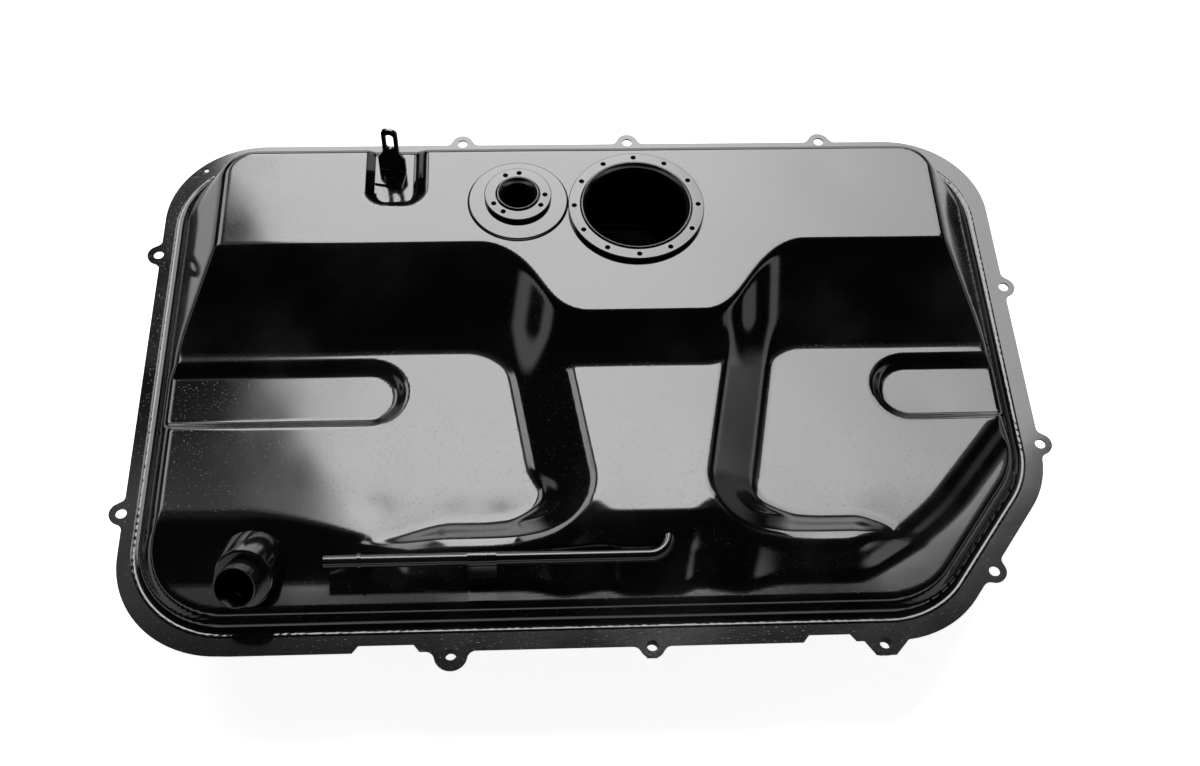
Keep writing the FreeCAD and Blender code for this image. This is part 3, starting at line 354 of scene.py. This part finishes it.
def rim_field(x, y):
    """Distance outside the rim's edge: round cornered outline joined softly to its ears, less two notches."""
    field = -inside_distance(x, y, RIM_OUTLINE, RIM_CORNER)
    for number, (ear_x, ear_y) in enumerate(EARS):
        wide = WIDE_EAR_RADIUS if number == WIDE_EAR else EAR_RADIUS
        field = smooth_min(field, np.hypot(x - ear_x, y - ear_y) - wide, 7)
    wing_x, wing_y = EARS[WINGED_EAR]
    wing = [(-22, 8), (26, 8), (9, -11), (-9, -11)]
    wing = [(wing_x + across, wing_y + ahead) for across, ahead in wing]
    plate = np.max([beyond(x, y, wing[i], wing[(i + 1) % 4]) for i in range(4)], axis=0)
    field = smooth_min(field, plate, 1)
    notch_back = -291
    for left, right in ((-215, -166), (189, 226)):
        lean = (y - notch_back) * 0.78
        notch = np.maximum(np.maximum(left - x + lean, x - right + lean) * 0.79, y - notch_back)
        field = np.maximum(field, -notch)
    return field


def loop_outside(core, reach, step):
    """Points a step apart on the loop at one distance outside a clockwise core, and their outward normals: an
    arc round each corner and then the straight side after it."""
    points = []
    normals = []
    for i, here in enumerate(core):
        after, before = core[(i + 1) % len(core)], core[i - 1]
        into = math.atan2(*(here - before)[::-1]) + math.pi / 2
        out = math.atan2(*(after - here)[::-1]) + math.pi / 2
        turn = (into - out) % (2 * math.pi)
        angles = np.linspace(into, into - turn, max(int(turn * reach / step), 3), endpoint=False)
        normal = np.stack([np.cos(angles), np.sin(angles)], axis=1)
        points.append(here + reach * normal)
        normals.append(normal)
        normal = np.array([math.cos(out), math.sin(out)])
        parts = np.arange(0, math.dist(here, after), step) / math.dist(here, after)
        points.append(here + reach * normal + parts[:, None] * (after - here))
        normals.append(np.repeat(normal[None], len(parts), axis=0))
    return np.concatenate(points), np.concatenate(normals)


def rim_edge(step):
    """The rim's edge as a closed row of points: a loop of straight sides and arcs, each point then moved
    along its outward normal to where rim_field is nought, found by halving."""
    base, outward = loop_outside(shrunk(RIM_OUTLINE, RIM_CORNER), RIM_CORNER, step)
    low = np.full(len(base), -16.0)
    high = np.full(len(base), 22.0)
    for _ in range(30):
        middle = (low + high) / 2
        points = base + outward * middle[:, None]
        inside = rim_field(points[:, 0], points[:, 1]) < 0
        low = np.where(inside, middle, low)
        high = np.where(inside, high, middle)
    return base + outward * low[:, None]


# Meshes from arrays

MILLIMETRE = 0.001
LIFT = Vector((0, 0, PARTING_Z))


def shade(mesh, round_below):
    """Smooth shading, with edges sharper than an angle in degrees kept sharp."""
    mesh.polygons.foreach_set("use_smooth", np.ones(len(mesh.polygons), dtype=bool))
    mesh.set_sharp_from_angle(angle=math.radians(round_below))


def new_piece(name, points, faces, round_below=40):
    """A piece of the tank from points in millimetres above the parting plane; edges flatter than the given
    angle are shaded round."""
    mesh = bpy.data.meshes.new(name)
    in_metres = np.asarray(points, dtype=float) * MILLIMETRE + np.array(LIFT)
    mesh.from_pydata(in_metres.tolist(), [], faces.tolist() if hasattr(faces, "tolist") else faces)
    shade(mesh, round_below)
    piece = bpy.data.objects.new(name, mesh)
    bpy.context.collection.objects.link(piece)
    return piece


def grid_faces(rows, columns, first=0):
    """Quads of a grid whose points are stored row by row."""
    corner = np.arange(rows * columns).reshape(rows, columns)[:-1, :-1].ravel() + first
    return np.stack([corner, corner + columns, corner + columns + 1, corner + 1], axis=1)


def prism(outline, low, high):
    """Points and faces of an upright prism over an outline that runs anticlockwise."""
    count = len(outline)
    foot = np.column_stack([outline, np.full(count, low)])
    head = np.column_stack([outline, np.full(count, high)])
    here = np.arange(count)
    after = np.roll(here, -1)
    sides = np.stack([here, after, after + count, here + count], axis=1).tolist()
    return np.concatenate([foot, head]), sides + [here[::-1].tolist(), (here + count).tolist()]


def gathered(parts):
    """Several point and face lists as one."""
    points = []
    faces = []
    start = 0
    for part_points, part_faces in parts:
        points.append(part_points)
        faces += [[index + start for index in face] for face in part_faces]
        start += len(part_points)
    return np.concatenate(points), faces


def circle(x, y, radius, count):
    """Points of a circle, anticlockwise."""
    angles = np.arange(count) * 2 * math.pi / count
    return np.column_stack([x + radius * np.cos(angles), y + radius * np.sin(angles)])


def carve(piece, steps, round_below=40):
    """Cut a closed piece with closed tools, each step being an operation, points and faces."""
    tools = []
    for operation, points, faces in steps:
        tool = new_piece("tool", points, faces)
        change = piece.modifiers.new("carve", "BOOLEAN")
        change.operation = operation
        change.solver = "EXACT"
        change.object = tool
        tools.append(tool)
    graph = bpy.context.evaluated_depsgraph_get()
    mesh = bpy.data.meshes.new_from_object(piece.evaluated_get(graph))
    piece.modifiers.clear()
    piece.data = mesh
    shade(mesh, round_below)
    for tool in tools:
        bpy.data.objects.remove(tool)


# Pieces

# The shell's grid: rows each way from the middle, their spacing, and the inside's share of them
GRID_ACROSS = 162
GRID_AHEAD = 117
SPACING_ACROSS = (904 / 324) * 0.999
SPACING_AHEAD = 640 / 234
COARSE = 3


def pressed_shell():
    """The upper shell: form_height over a fine grid for its outside, the same less the sheet's thickness
    over every third point for its inside, trimmed to the rim's edge and drilled. The raised forms are 0.8 mm
    thicker than the rim, so that the coarser inside stays clear of the outside in round edges."""
    across = np.arange(-GRID_ACROSS, GRID_ACROSS + 1) * SPACING_ACROSS
    ahead = np.arange(-GRID_AHEAD, GRID_AHEAD + 1) * SPACING_AHEAD - 3
    rows, columns = len(across), len(ahead)
    x, y = np.meshgrid(across, ahead, indexing="ij")
    top = form_height(x, y)
    slope = np.hypot(*np.gradient(top, across, ahead))
    skin = SHEET + 0.8 * np.clip((top - SHEET) / 6, 0, 1)
    under = top - skin * np.sqrt(1 + slope * slope)
    under = np.where(top < SHEET + 0.01, 0.0, np.maximum(under, 0.0))
    outside = np.stack([x, y, top], axis=-1).reshape(-1, 3)
    thin = (slice(None, None, COARSE), slice(None, None, COARSE))
    inside = np.stack([x[thin], y[thin], under[thin]], axis=-1)
    in_rows, in_columns = inside.shape[:2]
    first = rows * columns
    faces = grid_faces(rows, columns).tolist() + grid_faces(in_rows, in_columns, first)[:, ::-1].tolist()
    upper = np.arange(first).reshape(rows, columns)
    lower = np.arange(in_rows * in_columns).reshape(in_rows, in_columns) + first
    faces.append(upper[:, 0].tolist() + lower[::-1, 0].tolist())
    faces.append(upper[::-1, -1].tolist() + lower[:, -1].tolist())
    faces.append(upper[0, ::-1].tolist() + lower[0].tolist())
    faces.append(upper[-1].tolist() + lower[-1, ::-1].tolist())
    piece = new_piece("pressed_shell", np.concatenate([outside, inside.reshape(-1, 3)]), faces)
    edge = rim_edge(2.0)[::-1]
    holes = [prism(circle(*place, EAR_HOLE, 40), -5, 6) for place in EARS]
    holes.append(prism(circle(-402, 265, 2.5, 20), -5, 6))
    holes.append(prism(circle(*PUMP, PUMP_BORE, 96), 60, 100))
    holes.append(prism(circle(*SENDER, SENDER_BORE, 64), 60, 100))
    holes += [prism(circle(*place, SCREW_HOLE, 20), 60, 100) for place in PUMP_SCREWS + SENDER_SCREWS]
    carve(piece, [("INTERSECT", *prism(edge, -4, 120)), ("DIFFERENCE", *gathered(holes))])
    return piece


def ring_faces(rows, columns):
    """Quads of a grid that is closed both ways, its points stored row by row."""
    here = np.arange(rows * columns).reshape(rows, columns)
    after = np.roll(here, -1, axis=0)
    beside = np.roll(here, -1, axis=1)
    both = np.roll(after, -1, axis=1)
    return np.stack([here, after, both, beside], axis=-1).reshape(-1, 4)


def turned_ring(name, profile, center, directions=None, count=96):
    """A closed ring: its profile of radius and height is carried round an axis, which is upright or else the
    third of the given directions."""
    profile = np.array(profile, dtype=float)
    angles = np.arange(count) * 2 * math.pi / count
    radius = profile[:, 0][None, :]
    x = np.cos(angles)[:, None] * radius
    y = np.sin(angles)[:, None] * radius
    z = np.broadcast_to(profile[:, 1][None, :], x.shape)
    points = np.stack([x, y, z], axis=-1).reshape(-1, 3)
    if directions is not None:
        points = points @ directions.T
    return new_piece(name, points + np.array(center), ring_faces(count, len(profile)), 35)


def rounded(profile, cuts, steps=4):
    """A closed profile whose corners are each replaced by a parabola with ends at the given reach."""
    profile = np.array(profile, dtype=float)
    out = []
    for i, cut in enumerate(cuts):
        corner = profile[i]
        if cut == 0:
            out.append(corner[None])
            continue
        back = profile[i - 1] - corner
        ahead = profile[(i + 1) % len(profile)] - corner
        start = corner + back / np.linalg.norm(back) * cut
        end = corner + ahead / np.linalg.norm(ahead) * cut
        part = np.linspace(0, 1, steps + 1)[:, None]
        out.append((1 - part) ** 2 * start + 2 * part * (1 - part) * corner + part ** 2 * end)
    return np.concatenate(out)


def bolted_ring(name, center, height, plate, bore, thick, lip, rise, screws):
    """A screw ring: a flat plate, a narrow rolled lip whose inner side slopes down into the bore, soft edges
    and drilled screw holes."""
    crest = lip - 0.36 * (lip - bore)
    top = thick + rise
    profile = rounded(
        [(bore, 0), (plate, 0), (plate, thick), (lip, thick), (crest + 0.5, top), (crest - 0.7, top),
         (bore, thick - 2.6)],
        [0, 0.3, 0.9, 0.3, 0.55, 0.9, 0.6])
    piece = turned_ring(name, profile, (*center, height), count=128)
    holes = [prism(circle(x, y, SCREW_HOLE, 24), height - 3, height + thick + 4) for x, y in screws]
    carve(piece, [("DIFFERENCE", *gathered(holes))], 35)
    return piece


def sender_pad():
    """The low round pad under the sender's ring, its edge softly rounded."""
    profile = rounded([(24, -0.8), (50.6, -0.8), (50.6, 0), (49, 2.5), (24, 2.5)], [0, 0, 0.5, 0.9, 0], 6)
    return turned_ring("sender_pad", profile, (*SENDER_PAD, PLATEAU), count=144)


FILLER_LEAN = math.radians(44)
FILLER_TURN = math.radians(10)
FILLER_POINT = np.array([-313.0, -226.0, 20.0])


def filler_frame():
    """Rows are the filler's own x, y and z directions, its z along the stub."""
    along = np.array([
        -math.sin(FILLER_LEAN) * math.sin(FILLER_TURN),
        -math.sin(FILLER_LEAN) * math.cos(FILLER_TURN),
        math.cos(FILLER_LEAN)])
    across = np.cross([0, 0, 1], along)
    across /= np.linalg.norm(across)
    return np.stack([across, np.cross(along, across), along], axis=1)


def filler_seat():
    """The pressed neck under the filler: a cone with a rounded shoulder and a flat seat, one sheet thick."""
    profile = [(34, -16), (27.4, 18), (26.6, 19.6), (25, 20.4), (18.9, 20.4), (18.9, 19.4), (24.6, 19.4),
               (25.8, 18.7), (26.4, 17.6), (33, -16)]
    return turned_ring("filler_seat", profile, FILLER_POINT, filler_frame(), 72)


def filler_neck():
    """The short stub: a thin tube with a softly rounded mouth."""
    profile = rounded([(17.5, 6), (19, 6), (19, 46), (17.5, 46)], [0, 0, 0.6, 0.6])
    return turned_ring("filler_neck", profile, FILLER_POINT, filler_frame(), 72)


def seam_weld():
    """The roller seam on the rim: a shallow bead that follows the wall at a set distance, its crest rising
    and falling as the weld's overlapping spots do."""
    from_wall = 6.5
    spots, normals = loop_outside(shrunk(WALL_FOOT, WALL_CORNER), WALL_CORNER + from_wall, 1.5)
    run = np.cumsum(np.linalg.norm(np.diff(spots, axis=0, append=spots[:1]), axis=1))
    crest = 0.30 + 0.07 * np.cos(run * 2 * math.pi / 7.6) * (1 + np.sin(run / 37) * np.sin(run / 11.3))
    crest = crest + 0.05 * np.sin(run / 3.1 + 2 * np.sin(run / 23))
    across = np.array([-2.3, -1.7, -0.8, 0, 0.8, 1.7, 2.3])
    lift = np.array([-0.3, 0.25, 0.8, 1, 0.8, 0.25, -0.3])
    points = np.concatenate([spots[:, None, :] + normals[:, None, :] * across[None, :, None],
                             (SHEET + crest[:, None] * lift[None, :])[..., None]], axis=-1)
    # The loop runs clockwise, so each quad is turned over
    faces = ring_faces(len(spots), len(across))[:, [0, 3, 2, 1]]
    return new_piece("seam_weld", points.reshape(-1, 3), faces, 60)


# Studio: strengths of its lights, and the large light's edges on a ceiling one unit up

SOFTBOX_LEVEL = 11.0
SOFTBOX_NEAR = 0.503
SOFTBOX_FAR = 1.35
SOFTBOX_RIGHT = 1.10
SOFTBOX_LEFT = -0.230
SOFTBOX_LEAN = 0.27
WING_LEVEL = 5.0
CEILING_LEVEL = 0.75
BACKDROP_LEVEL = 2.6
RIGHT_GLOW = 0.40
FRONT_GLOW = 1.7
SIDE_GLOW = 1.3
ROOM_LEVEL = 0.012


def band(shader, value, low, high, edge):
    """One between low and high and nought outside, with soft edges."""
    return shader.math("MULTIPLY", shader.ramp(value, low - edge, low + edge),
                       shader.ramp(value, high - edge, high + edge, 1, 0))


def build_world():
    """A dark studio, drawn by direction. Across and away are where a ray meets a ceiling one unit up. On it
    are one large soft light behind the tank, whose left side leans and whose near right corner is cut off, a
    smaller one to its left and a dim strip before both. Lower down are a wall behind the tank and faint glows
    at the right, in front and at both sides. The camera sees white instead."""
    world = bpy.data.worlds.new("studio")
    bpy.context.scene.world = world
    world.use_nodes = True
    world.node_tree.nodes.clear()
    shader = Shader(world.node_tree)
    place = shader.add("ShaderNodeTexCoord")
    parts = shader.add("ShaderNodeSeparateXYZ")
    shader.join(place.outputs["Generated"], parts.inputs[0])
    side, ahead, up = parts.outputs
    above = shader.ramp(up, 0.30, 0.36)
    height = shader.math("MAXIMUM", up, 0.05)
    across = shader.math("DIVIDE", side, height)
    away = shader.math("DIVIDE", ahead, height)
    # The left side leans and blurs towards the near end
    left = shader.math("MULTIPLY", shader.math("SUBTRACT", 0.834, away), SOFTBOX_LEAN)
    left = shader.math("SUBTRACT", left, -SOFTBOX_LEFT)
    blur = shader.math("ADD", shader.math("MAXIMUM", shader.math("SUBTRACT", 0.76, away), 0.0), 0.06)
    blur = shader.math("MULTIPLY", blur, 0.14)
    reach = shader.math("DIVIDE", shader.math("SUBTRACT", across, left), blur)
    # The near end is straight, and its right corner is cut off
    corner = shader.math("MAXIMUM", shader.math("SUBTRACT", across, 0.30), 0.0)
    near = shader.math("SUBTRACT", away, corner)
    level = shader.product(
        shader.ramp(near, SOFTBOX_NEAR - 0.006, SOFTBOX_NEAR + 0.006),
        shader.ramp(away, SOFTBOX_FAR - 0.05, SOFTBOX_FAR + 0.05, 1, 0),
        shader.ramp(reach, -1, 1),
        shader.ramp(across, SOFTBOX_RIGHT - 0.1, SOFTBOX_RIGHT, 1, 0),
        above,
        shader.ramp(across, 0.05, 0.45, SOFTBOX_LEVEL, 0.62 * SOFTBOX_LEVEL))
    wing = shader.product(
        band(shader, across, -1.08, -0.38, 0.04), band(shader, away, 0.52, 1.3, 0.05), above, WING_LEVEL)
    level = shader.math("ADD", level, wing)
    ceiling = shader.product(
        shader.ramp(away, 0.445, 0.475, 0.22 * CEILING_LEVEL, CEILING_LEVEL),
        band(shader, away, 0.32, 0.60, 0.06), above, band(shader, across, -0.5, 0.8, 0.1))
    level = shader.math("ADD", level, ceiling)
    wall = shader.product(
        band(shader, up, -0.01, 0.42, 0.08), band(shader, side, -0.40, 0.40, 0.10),
        shader.ramp(ahead, 0.1, 0.3), BACKDROP_LEVEL)
    level = shader.math("ADD", level, wall)
    glow = shader.product(
        band(shader, up, -0.02, 0.32, 0.10), band(shader, side, 0.62, 1.05, 0.10),
        shader.ramp(ahead, 0.1, 0.3, 0, RIGHT_GLOW))
    level = shader.math("ADD", level, glow)
    low = shader.math("MAXIMUM", shader.ramp(ahead, -0.5, -0.3, FRONT_GLOW, 0),
                      shader.ramp(shader.math("MULTIPLY", side, side), 0.64, 0.76, 0, SIDE_GLOW))
    low = shader.math("MULTIPLY", band(shader, up, 0.25, 0.43, 0.04), low)
    level = shader.math("ADD", shader.math("ADD", level, low), ROOM_LEVEL)
    path = shader.add("ShaderNodeLightPath")
    seen = shader.math("MAXIMUM", path.outputs["Is Camera Ray"], path.outputs["Is Transmission Ray"])
    mix = shader.add("ShaderNodeMix", data_type="FLOAT")
    shader.join(seen, mix.inputs[0])
    shader.join(level, mix.inputs[2])
    mix.inputs[3].default_value = 1.0
    back = shader.add("ShaderNodeBackground")
    back.inputs["Color"].default_value = (1, 1, 1, 1)
    shader.join(mix.outputs[0], back.inputs["Strength"])
    out = shader.add("ShaderNodeOutputWorld")
    shader.join(back.outputs[0], out.inputs["Surface"])


def build_floor():
    """A flat white floor, seen as plain white and keeping the tank's shadow faint."""
    half = 6.0
    corners = [(-half, -half, FLOOR_Z), (half, -half, FLOOR_Z), (half, half, FLOOR_Z), (-half, half, FLOOR_Z)]
    mesh = bpy.data.meshes.new("floor")
    mesh.from_pydata(corners, [], [(0, 1, 2, 3)])
    floor = bpy.data.objects.new("floor", mesh)
    bpy.context.collection.objects.link(floor)
    material = bpy.data.materials.new("white_floor")
    material.use_nodes = True
    material.node_tree.nodes.clear()
    shader = Shader(material.node_tree)
    diffuse = shader.add("ShaderNodeBsdfDiffuse")
    diffuse.inputs["Color"].default_value = (0.82, 0.82, 0.82, 1)
    glow = shader.add("ShaderNodeEmission")
    path = shader.add("ShaderNodeLightPath")
    shader.join(shader.math("MULTIPLY", path.outputs["Is Camera Ray"], 0.85), glow.inputs["Strength"])
    both = shader.add("ShaderNodeAddShader")
    shader.join(diffuse.outputs[0], both.inputs[0])
    shader.join(glow.outputs[0], both.inputs[1])
    out = shader.add("ShaderNodeOutputMaterial")
    shader.join(both.outputs[0], out.inputs["Surface"])
    mesh.materials.append(material)


# Finishes


SHELL_BLACK = (0.0016, 0.0016, 0.0018)
PART_BLACK = (0.002, 0.002, 0.0022)
DUST_COLOR = (0.035, 0.034, 0.033)
SCUFF_COLOR = (0.09, 0.09, 0.09)


def principled(name):
    """A new material with its tree and its surface shader."""
    material = bpy.data.materials.new(name)
    material.use_nodes = True
    tree = material.node_tree
    return material, tree, tree.nodes["Principled BSDF"]


def effect(name, inputs, outputs):
    """A new shader node group with named sockets, its helper, and its two end nodes."""
    tree = bpy.data.node_groups.new(name, "ShaderNodeTree")
    for socket, (kind, value) in inputs.items():
        made = tree.interface.new_socket(name=socket, in_out="INPUT", socket_type=kind)
        if value is not None:
            made.default_value = value
    for socket, kind in outputs.items():
        tree.interface.new_socket(name=socket, in_out="OUTPUT", socket_type=kind)
    shader = Shader(tree)
    return tree, shader, shader.add("NodeGroupInput"), shader.add("NodeGroupOutput")


def noise(shader, vector, scale, detail=3.0):
    """Plain noise from nought to one."""
    made = shader.add("ShaderNodeTexNoise", Detail=detail)
    shader.join(vector, made.inputs["Vector"])
    if isinstance(scale, bpy.types.NodeSocket):
        shader.join(scale, made.inputs["Scale"])
    else:
        made.inputs["Scale"].default_value = scale
    return made.outputs["Fac"]


NUMBER = "NodeSocketFloat"


def dust_film_effect():
    """Thin dust: large soft patches, thinner where a fine grain breaks them up. Puts out a mask."""
    tree, shader, into, out = effect(
        "dust_film", {"Patch Scale": (NUMBER, 9.0), "Cover": (NUMBER, 0.5)}, {"Mask": NUMBER})
    place = shader.add("ShaderNodeTexCoord").outputs["Object"]
    patch = noise(shader, place, into.outputs["Patch Scale"], 5.0)
    grain = noise(shader, place, 900.0, 2.0)
    patch = shader.ramp(patch, 0.42, 0.78)
    grain = shader.ramp(grain, 0.35, 0.75, 0.4, 1.0)
    mask = shader.math("MULTIPLY", shader.math("MULTIPLY", patch, grain), into.outputs["Cover"], clamp=True)
    shader.join(mask, out.inputs["Mask"])
    return tree


def scuff_effect():
    """Fine scuffs: thin lines where a stretched noise crosses its middle, in two directions, kept to patches.
    Puts out a mask."""
    tree, shader, into, out = effect("fine_scuffs", {"Amount": (NUMBER, 0.5)}, {"Mask": NUMBER})
    place = shader.add("ShaderNodeTexCoord").outputs["Object"]
    lines = None
    for turn, stretch in ((0.6, (26, 420, 60)), (2.3, (30, 360, 60))):
        mapping = shader.add("ShaderNodeMapping")
        shader.join(place, mapping.inputs["Vector"])
        mapping.inputs["Rotation"].default_value = (0, 0, turn)
        mapping.inputs["Scale"].default_value = stretch
        field = noise(shader, mapping.outputs[0], 1.0, 1.0)
        line = shader.ramp(shader.math("ABSOLUTE", shader.math("SUBTRACT", field, 0.5)), 0.0, 0.006, 1, 0)
        lines = line if lines is None else shader.math("MAXIMUM", lines, line)
    patches = shader.ramp(noise(shader, place, 17.0, 2.0), 0.58, 0.70)
    marks = shader.math("MULTIPLY", lines, patches)
    mask = shader.math("MULTIPLY", marks, into.outputs["Amount"], clamp=True)
    shader.join(mask, out.inputs["Mask"])
    return tree


def sprayed_skin_effect():
    """Sprayed paint's skin: slow ripple, orange peel and a few settled specks, as one bumped normal."""
    tree, shader, into, out = effect(
        "sprayed_skin", {"Ripple": (NUMBER, 0.1), "Peel": (NUMBER, 0.1), "Specks": (NUMBER, 0.2)},
        {"Normal": "NodeSocketVector"})
    place = shader.add("ShaderNodeTexCoord").outputs["Object"]
    ripple = shader.math("MULTIPLY", noise(shader, place, 22.0, 1.0), into.outputs["Ripple"])
    peel = shader.math("MULTIPLY", noise(shader, place, 420.0, 2.0), into.outputs["Peel"])
    specks = shader.ramp(noise(shader, place, 520.0, 0.0), 0.74, 0.80)
    specks = shader.math("MULTIPLY", specks, into.outputs["Specks"])
    height = shader.math("ADD", shader.math("ADD", ripple, peel), specks)
    bump = shader.add("ShaderNodeBump")
    bump.inputs["Strength"].default_value = 1.0
    bump.inputs["Distance"].default_value = 0.0001
    shader.join(height, bump.inputs["Height"])
    shader.join(bump.outputs["Normal"], out.inputs["Normal"])
    return tree


def steel_cloud_effect():
    """Drawn steel sheet: cloudy patches crossed by fine drawing lines. Puts out a mask."""
    tree, shader, into, out = effect("steel_cloud", {"Cloud Scale": (NUMBER, 40.0)}, {"Mask": NUMBER})
    place = shader.add("ShaderNodeTexCoord").outputs["Object"]
    cloud = noise(shader, place, into.outputs["Cloud Scale"], 5.0)
    mapping = shader.add("ShaderNodeMapping")
    shader.join(place, mapping.inputs["Vector"])
    mapping.inputs["Scale"].default_value = (30, 900, 900)
    drawn = noise(shader, mapping.outputs[0], 1.0, 2.0)
    both = shader.math("ADD", shader.math("MULTIPLY", cloud, 0.7), shader.math("MULTIPLY", drawn, 0.3))
    shader.join(both, out.inputs["Mask"])
    return tree


def placed(shader, tree, **values):
    """One use of an effect, with its values."""
    node = shader.add("ShaderNodeGroup", node_tree=tree)
    for name, value in values.items():
        node.inputs[name.replace("_", " ")].default_value = value
    return node.outputs[0]


def mixed(shader, mask, low, high):
    """A colour between two by a mask."""
    mix = shader.add("ShaderNodeMix", data_type="RGBA")
    shader.join(mask, mix.inputs[0])
    for socket, color in ((mix.inputs[6], low), (mix.inputs[7], high)):
        if isinstance(color, bpy.types.NodeSocket):
            shader.join(color, socket)
        else:
            socket.default_value = (*color, 1)
    return mix.outputs[2]


def black_gloss(name, color, roughness, effects, cover, scuffs, ripple, peel):
    """Gloss black paint: dust that dulls and greys it, fine scuffs, and the skin that spraying leaves."""
    material, tree, surface = principled(name)
    shader = Shader(tree)
    dust = placed(shader, effects["dust_film"], Cover=cover)
    marks = placed(shader, effects["fine_scuffs"], Amount=scuffs)
    tint = mixed(shader, dust, color, DUST_COLOR)
    shader.join(mixed(shader, marks, tint, SCUFF_COLOR), surface.inputs["Base Color"])
    dulled = shader.math("ADD", shader.math("MULTIPLY", dust, 0.16), shader.math("MULTIPLY", marks, 0.3))
    shader.join(shader.math("ADD", dulled, roughness, clamp=True), surface.inputs["Roughness"])
    skin = placed(shader, effects["sprayed_skin"], Ripple=ripple, Peel=peel)
    shader.join(skin, surface.inputs["Normal"])
    return material


def bare_steel(name, color, roughness, effects, cloud_scale):
    """Unpainted metal with cloudy, drawn variation."""
    material, tree, surface = principled(name)
    shader = Shader(tree)
    cloud = placed(shader, effects["steel_cloud"], Cloud_Scale=cloud_scale)
    darker = tuple(part * 0.6 for part in color)
    shader.join(mixed(shader, shader.ramp(cloud, 0.35, 0.65), darker, color), surface.inputs["Base Color"])
    surface.inputs["Metallic"].default_value = 1.0
    shader.join(shader.ramp(cloud, 0.3, 0.7, roughness, roughness + 0.2), surface.inputs["Roughness"])
    skin = placed(shader, effects["sprayed_skin"], Ripple=0.1, Peel=0.5)
    shader.join(skin, surface.inputs["Normal"])
    return material


def finish_nodes():
    """Make every finish, put it on the tank's own nodes, and hand the finishes back."""
    effects = {tree.name: tree for tree in (
        dust_film_effect(), scuff_effect(), sprayed_skin_effect(), steel_cloud_effect())}
    finishes = {
        "shell_paint": black_gloss(
            "shell_paint", SHELL_BLACK, 0.085, effects, cover=0.50, scuffs=0.10, ripple=0.35, peel=0.04),
        "ring_paint": black_gloss(
            "ring_paint", PART_BLACK, 0.12, effects, cover=0.30, scuffs=0.35, ripple=0.10, peel=0.05),
        "pipe_paint": black_gloss(
            "pipe_paint", PART_BLACK, 0.13, effects, cover=0.30, scuffs=0.5, ripple=0.20, peel=0.10),
        "bare_steel": bare_steel("bare_steel", (0.42, 0.42, 0.43), 0.33, effects, 40.0),
        "washer_aluminium": bare_steel("washer_aluminium", (0.75, 0.75, 0.76), 0.28, effects, 120.0),
    }
    slots = {part["node"]: part["material_slot"] for part in frame["record"]["subparts"]}
    for node, slot in slots.items():
        thing = frame["nodes"][node]
        thing.data.materials.clear()
        thing.data.materials.append(finishes[slot])
    return finishes


def dress(piece, slot, *nodes):
    """Give a piece its finish, ride it on the tank and let it stand for its nodes."""
    piece.data.materials.clear()
    piece.data.materials.append(finishes[slot])
    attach(piece, "root")
    if nodes:
        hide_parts(*nodes)


place_camera()
build_world()
build_floor()
finishes = finish_nodes()
dress(pressed_shell(), "shell_paint", "upper_shell")
dress(filler_seat(), "shell_paint", "upper_shell")
dress(sender_pad(), "shell_paint", "upper_shell")
dress(seam_weld(), "shell_paint")
dress(filler_neck(), "pipe_paint", "filler_stub")
pump_seat = bolted_ring(
    "pump_seat_ring", PUMP, PLATEAU, plate=68, bore=PUMP_BORE, thick=5.5, lip=56.4, rise=1.3,
    screws=PUMP_SCREWS)
dress(pump_seat, "ring_paint", "pump_ring")
sender_seat = bolted_ring(
    "sender_seat_ring", SENDER, PLATEAU + 2.5, plate=33.5, bore=SENDER_BORE, thick=5, lip=22.4, rise=1.6,
    screws=SENDER_SCREWS)
dress(sender_seat, "ring_paint", "sender_ring")
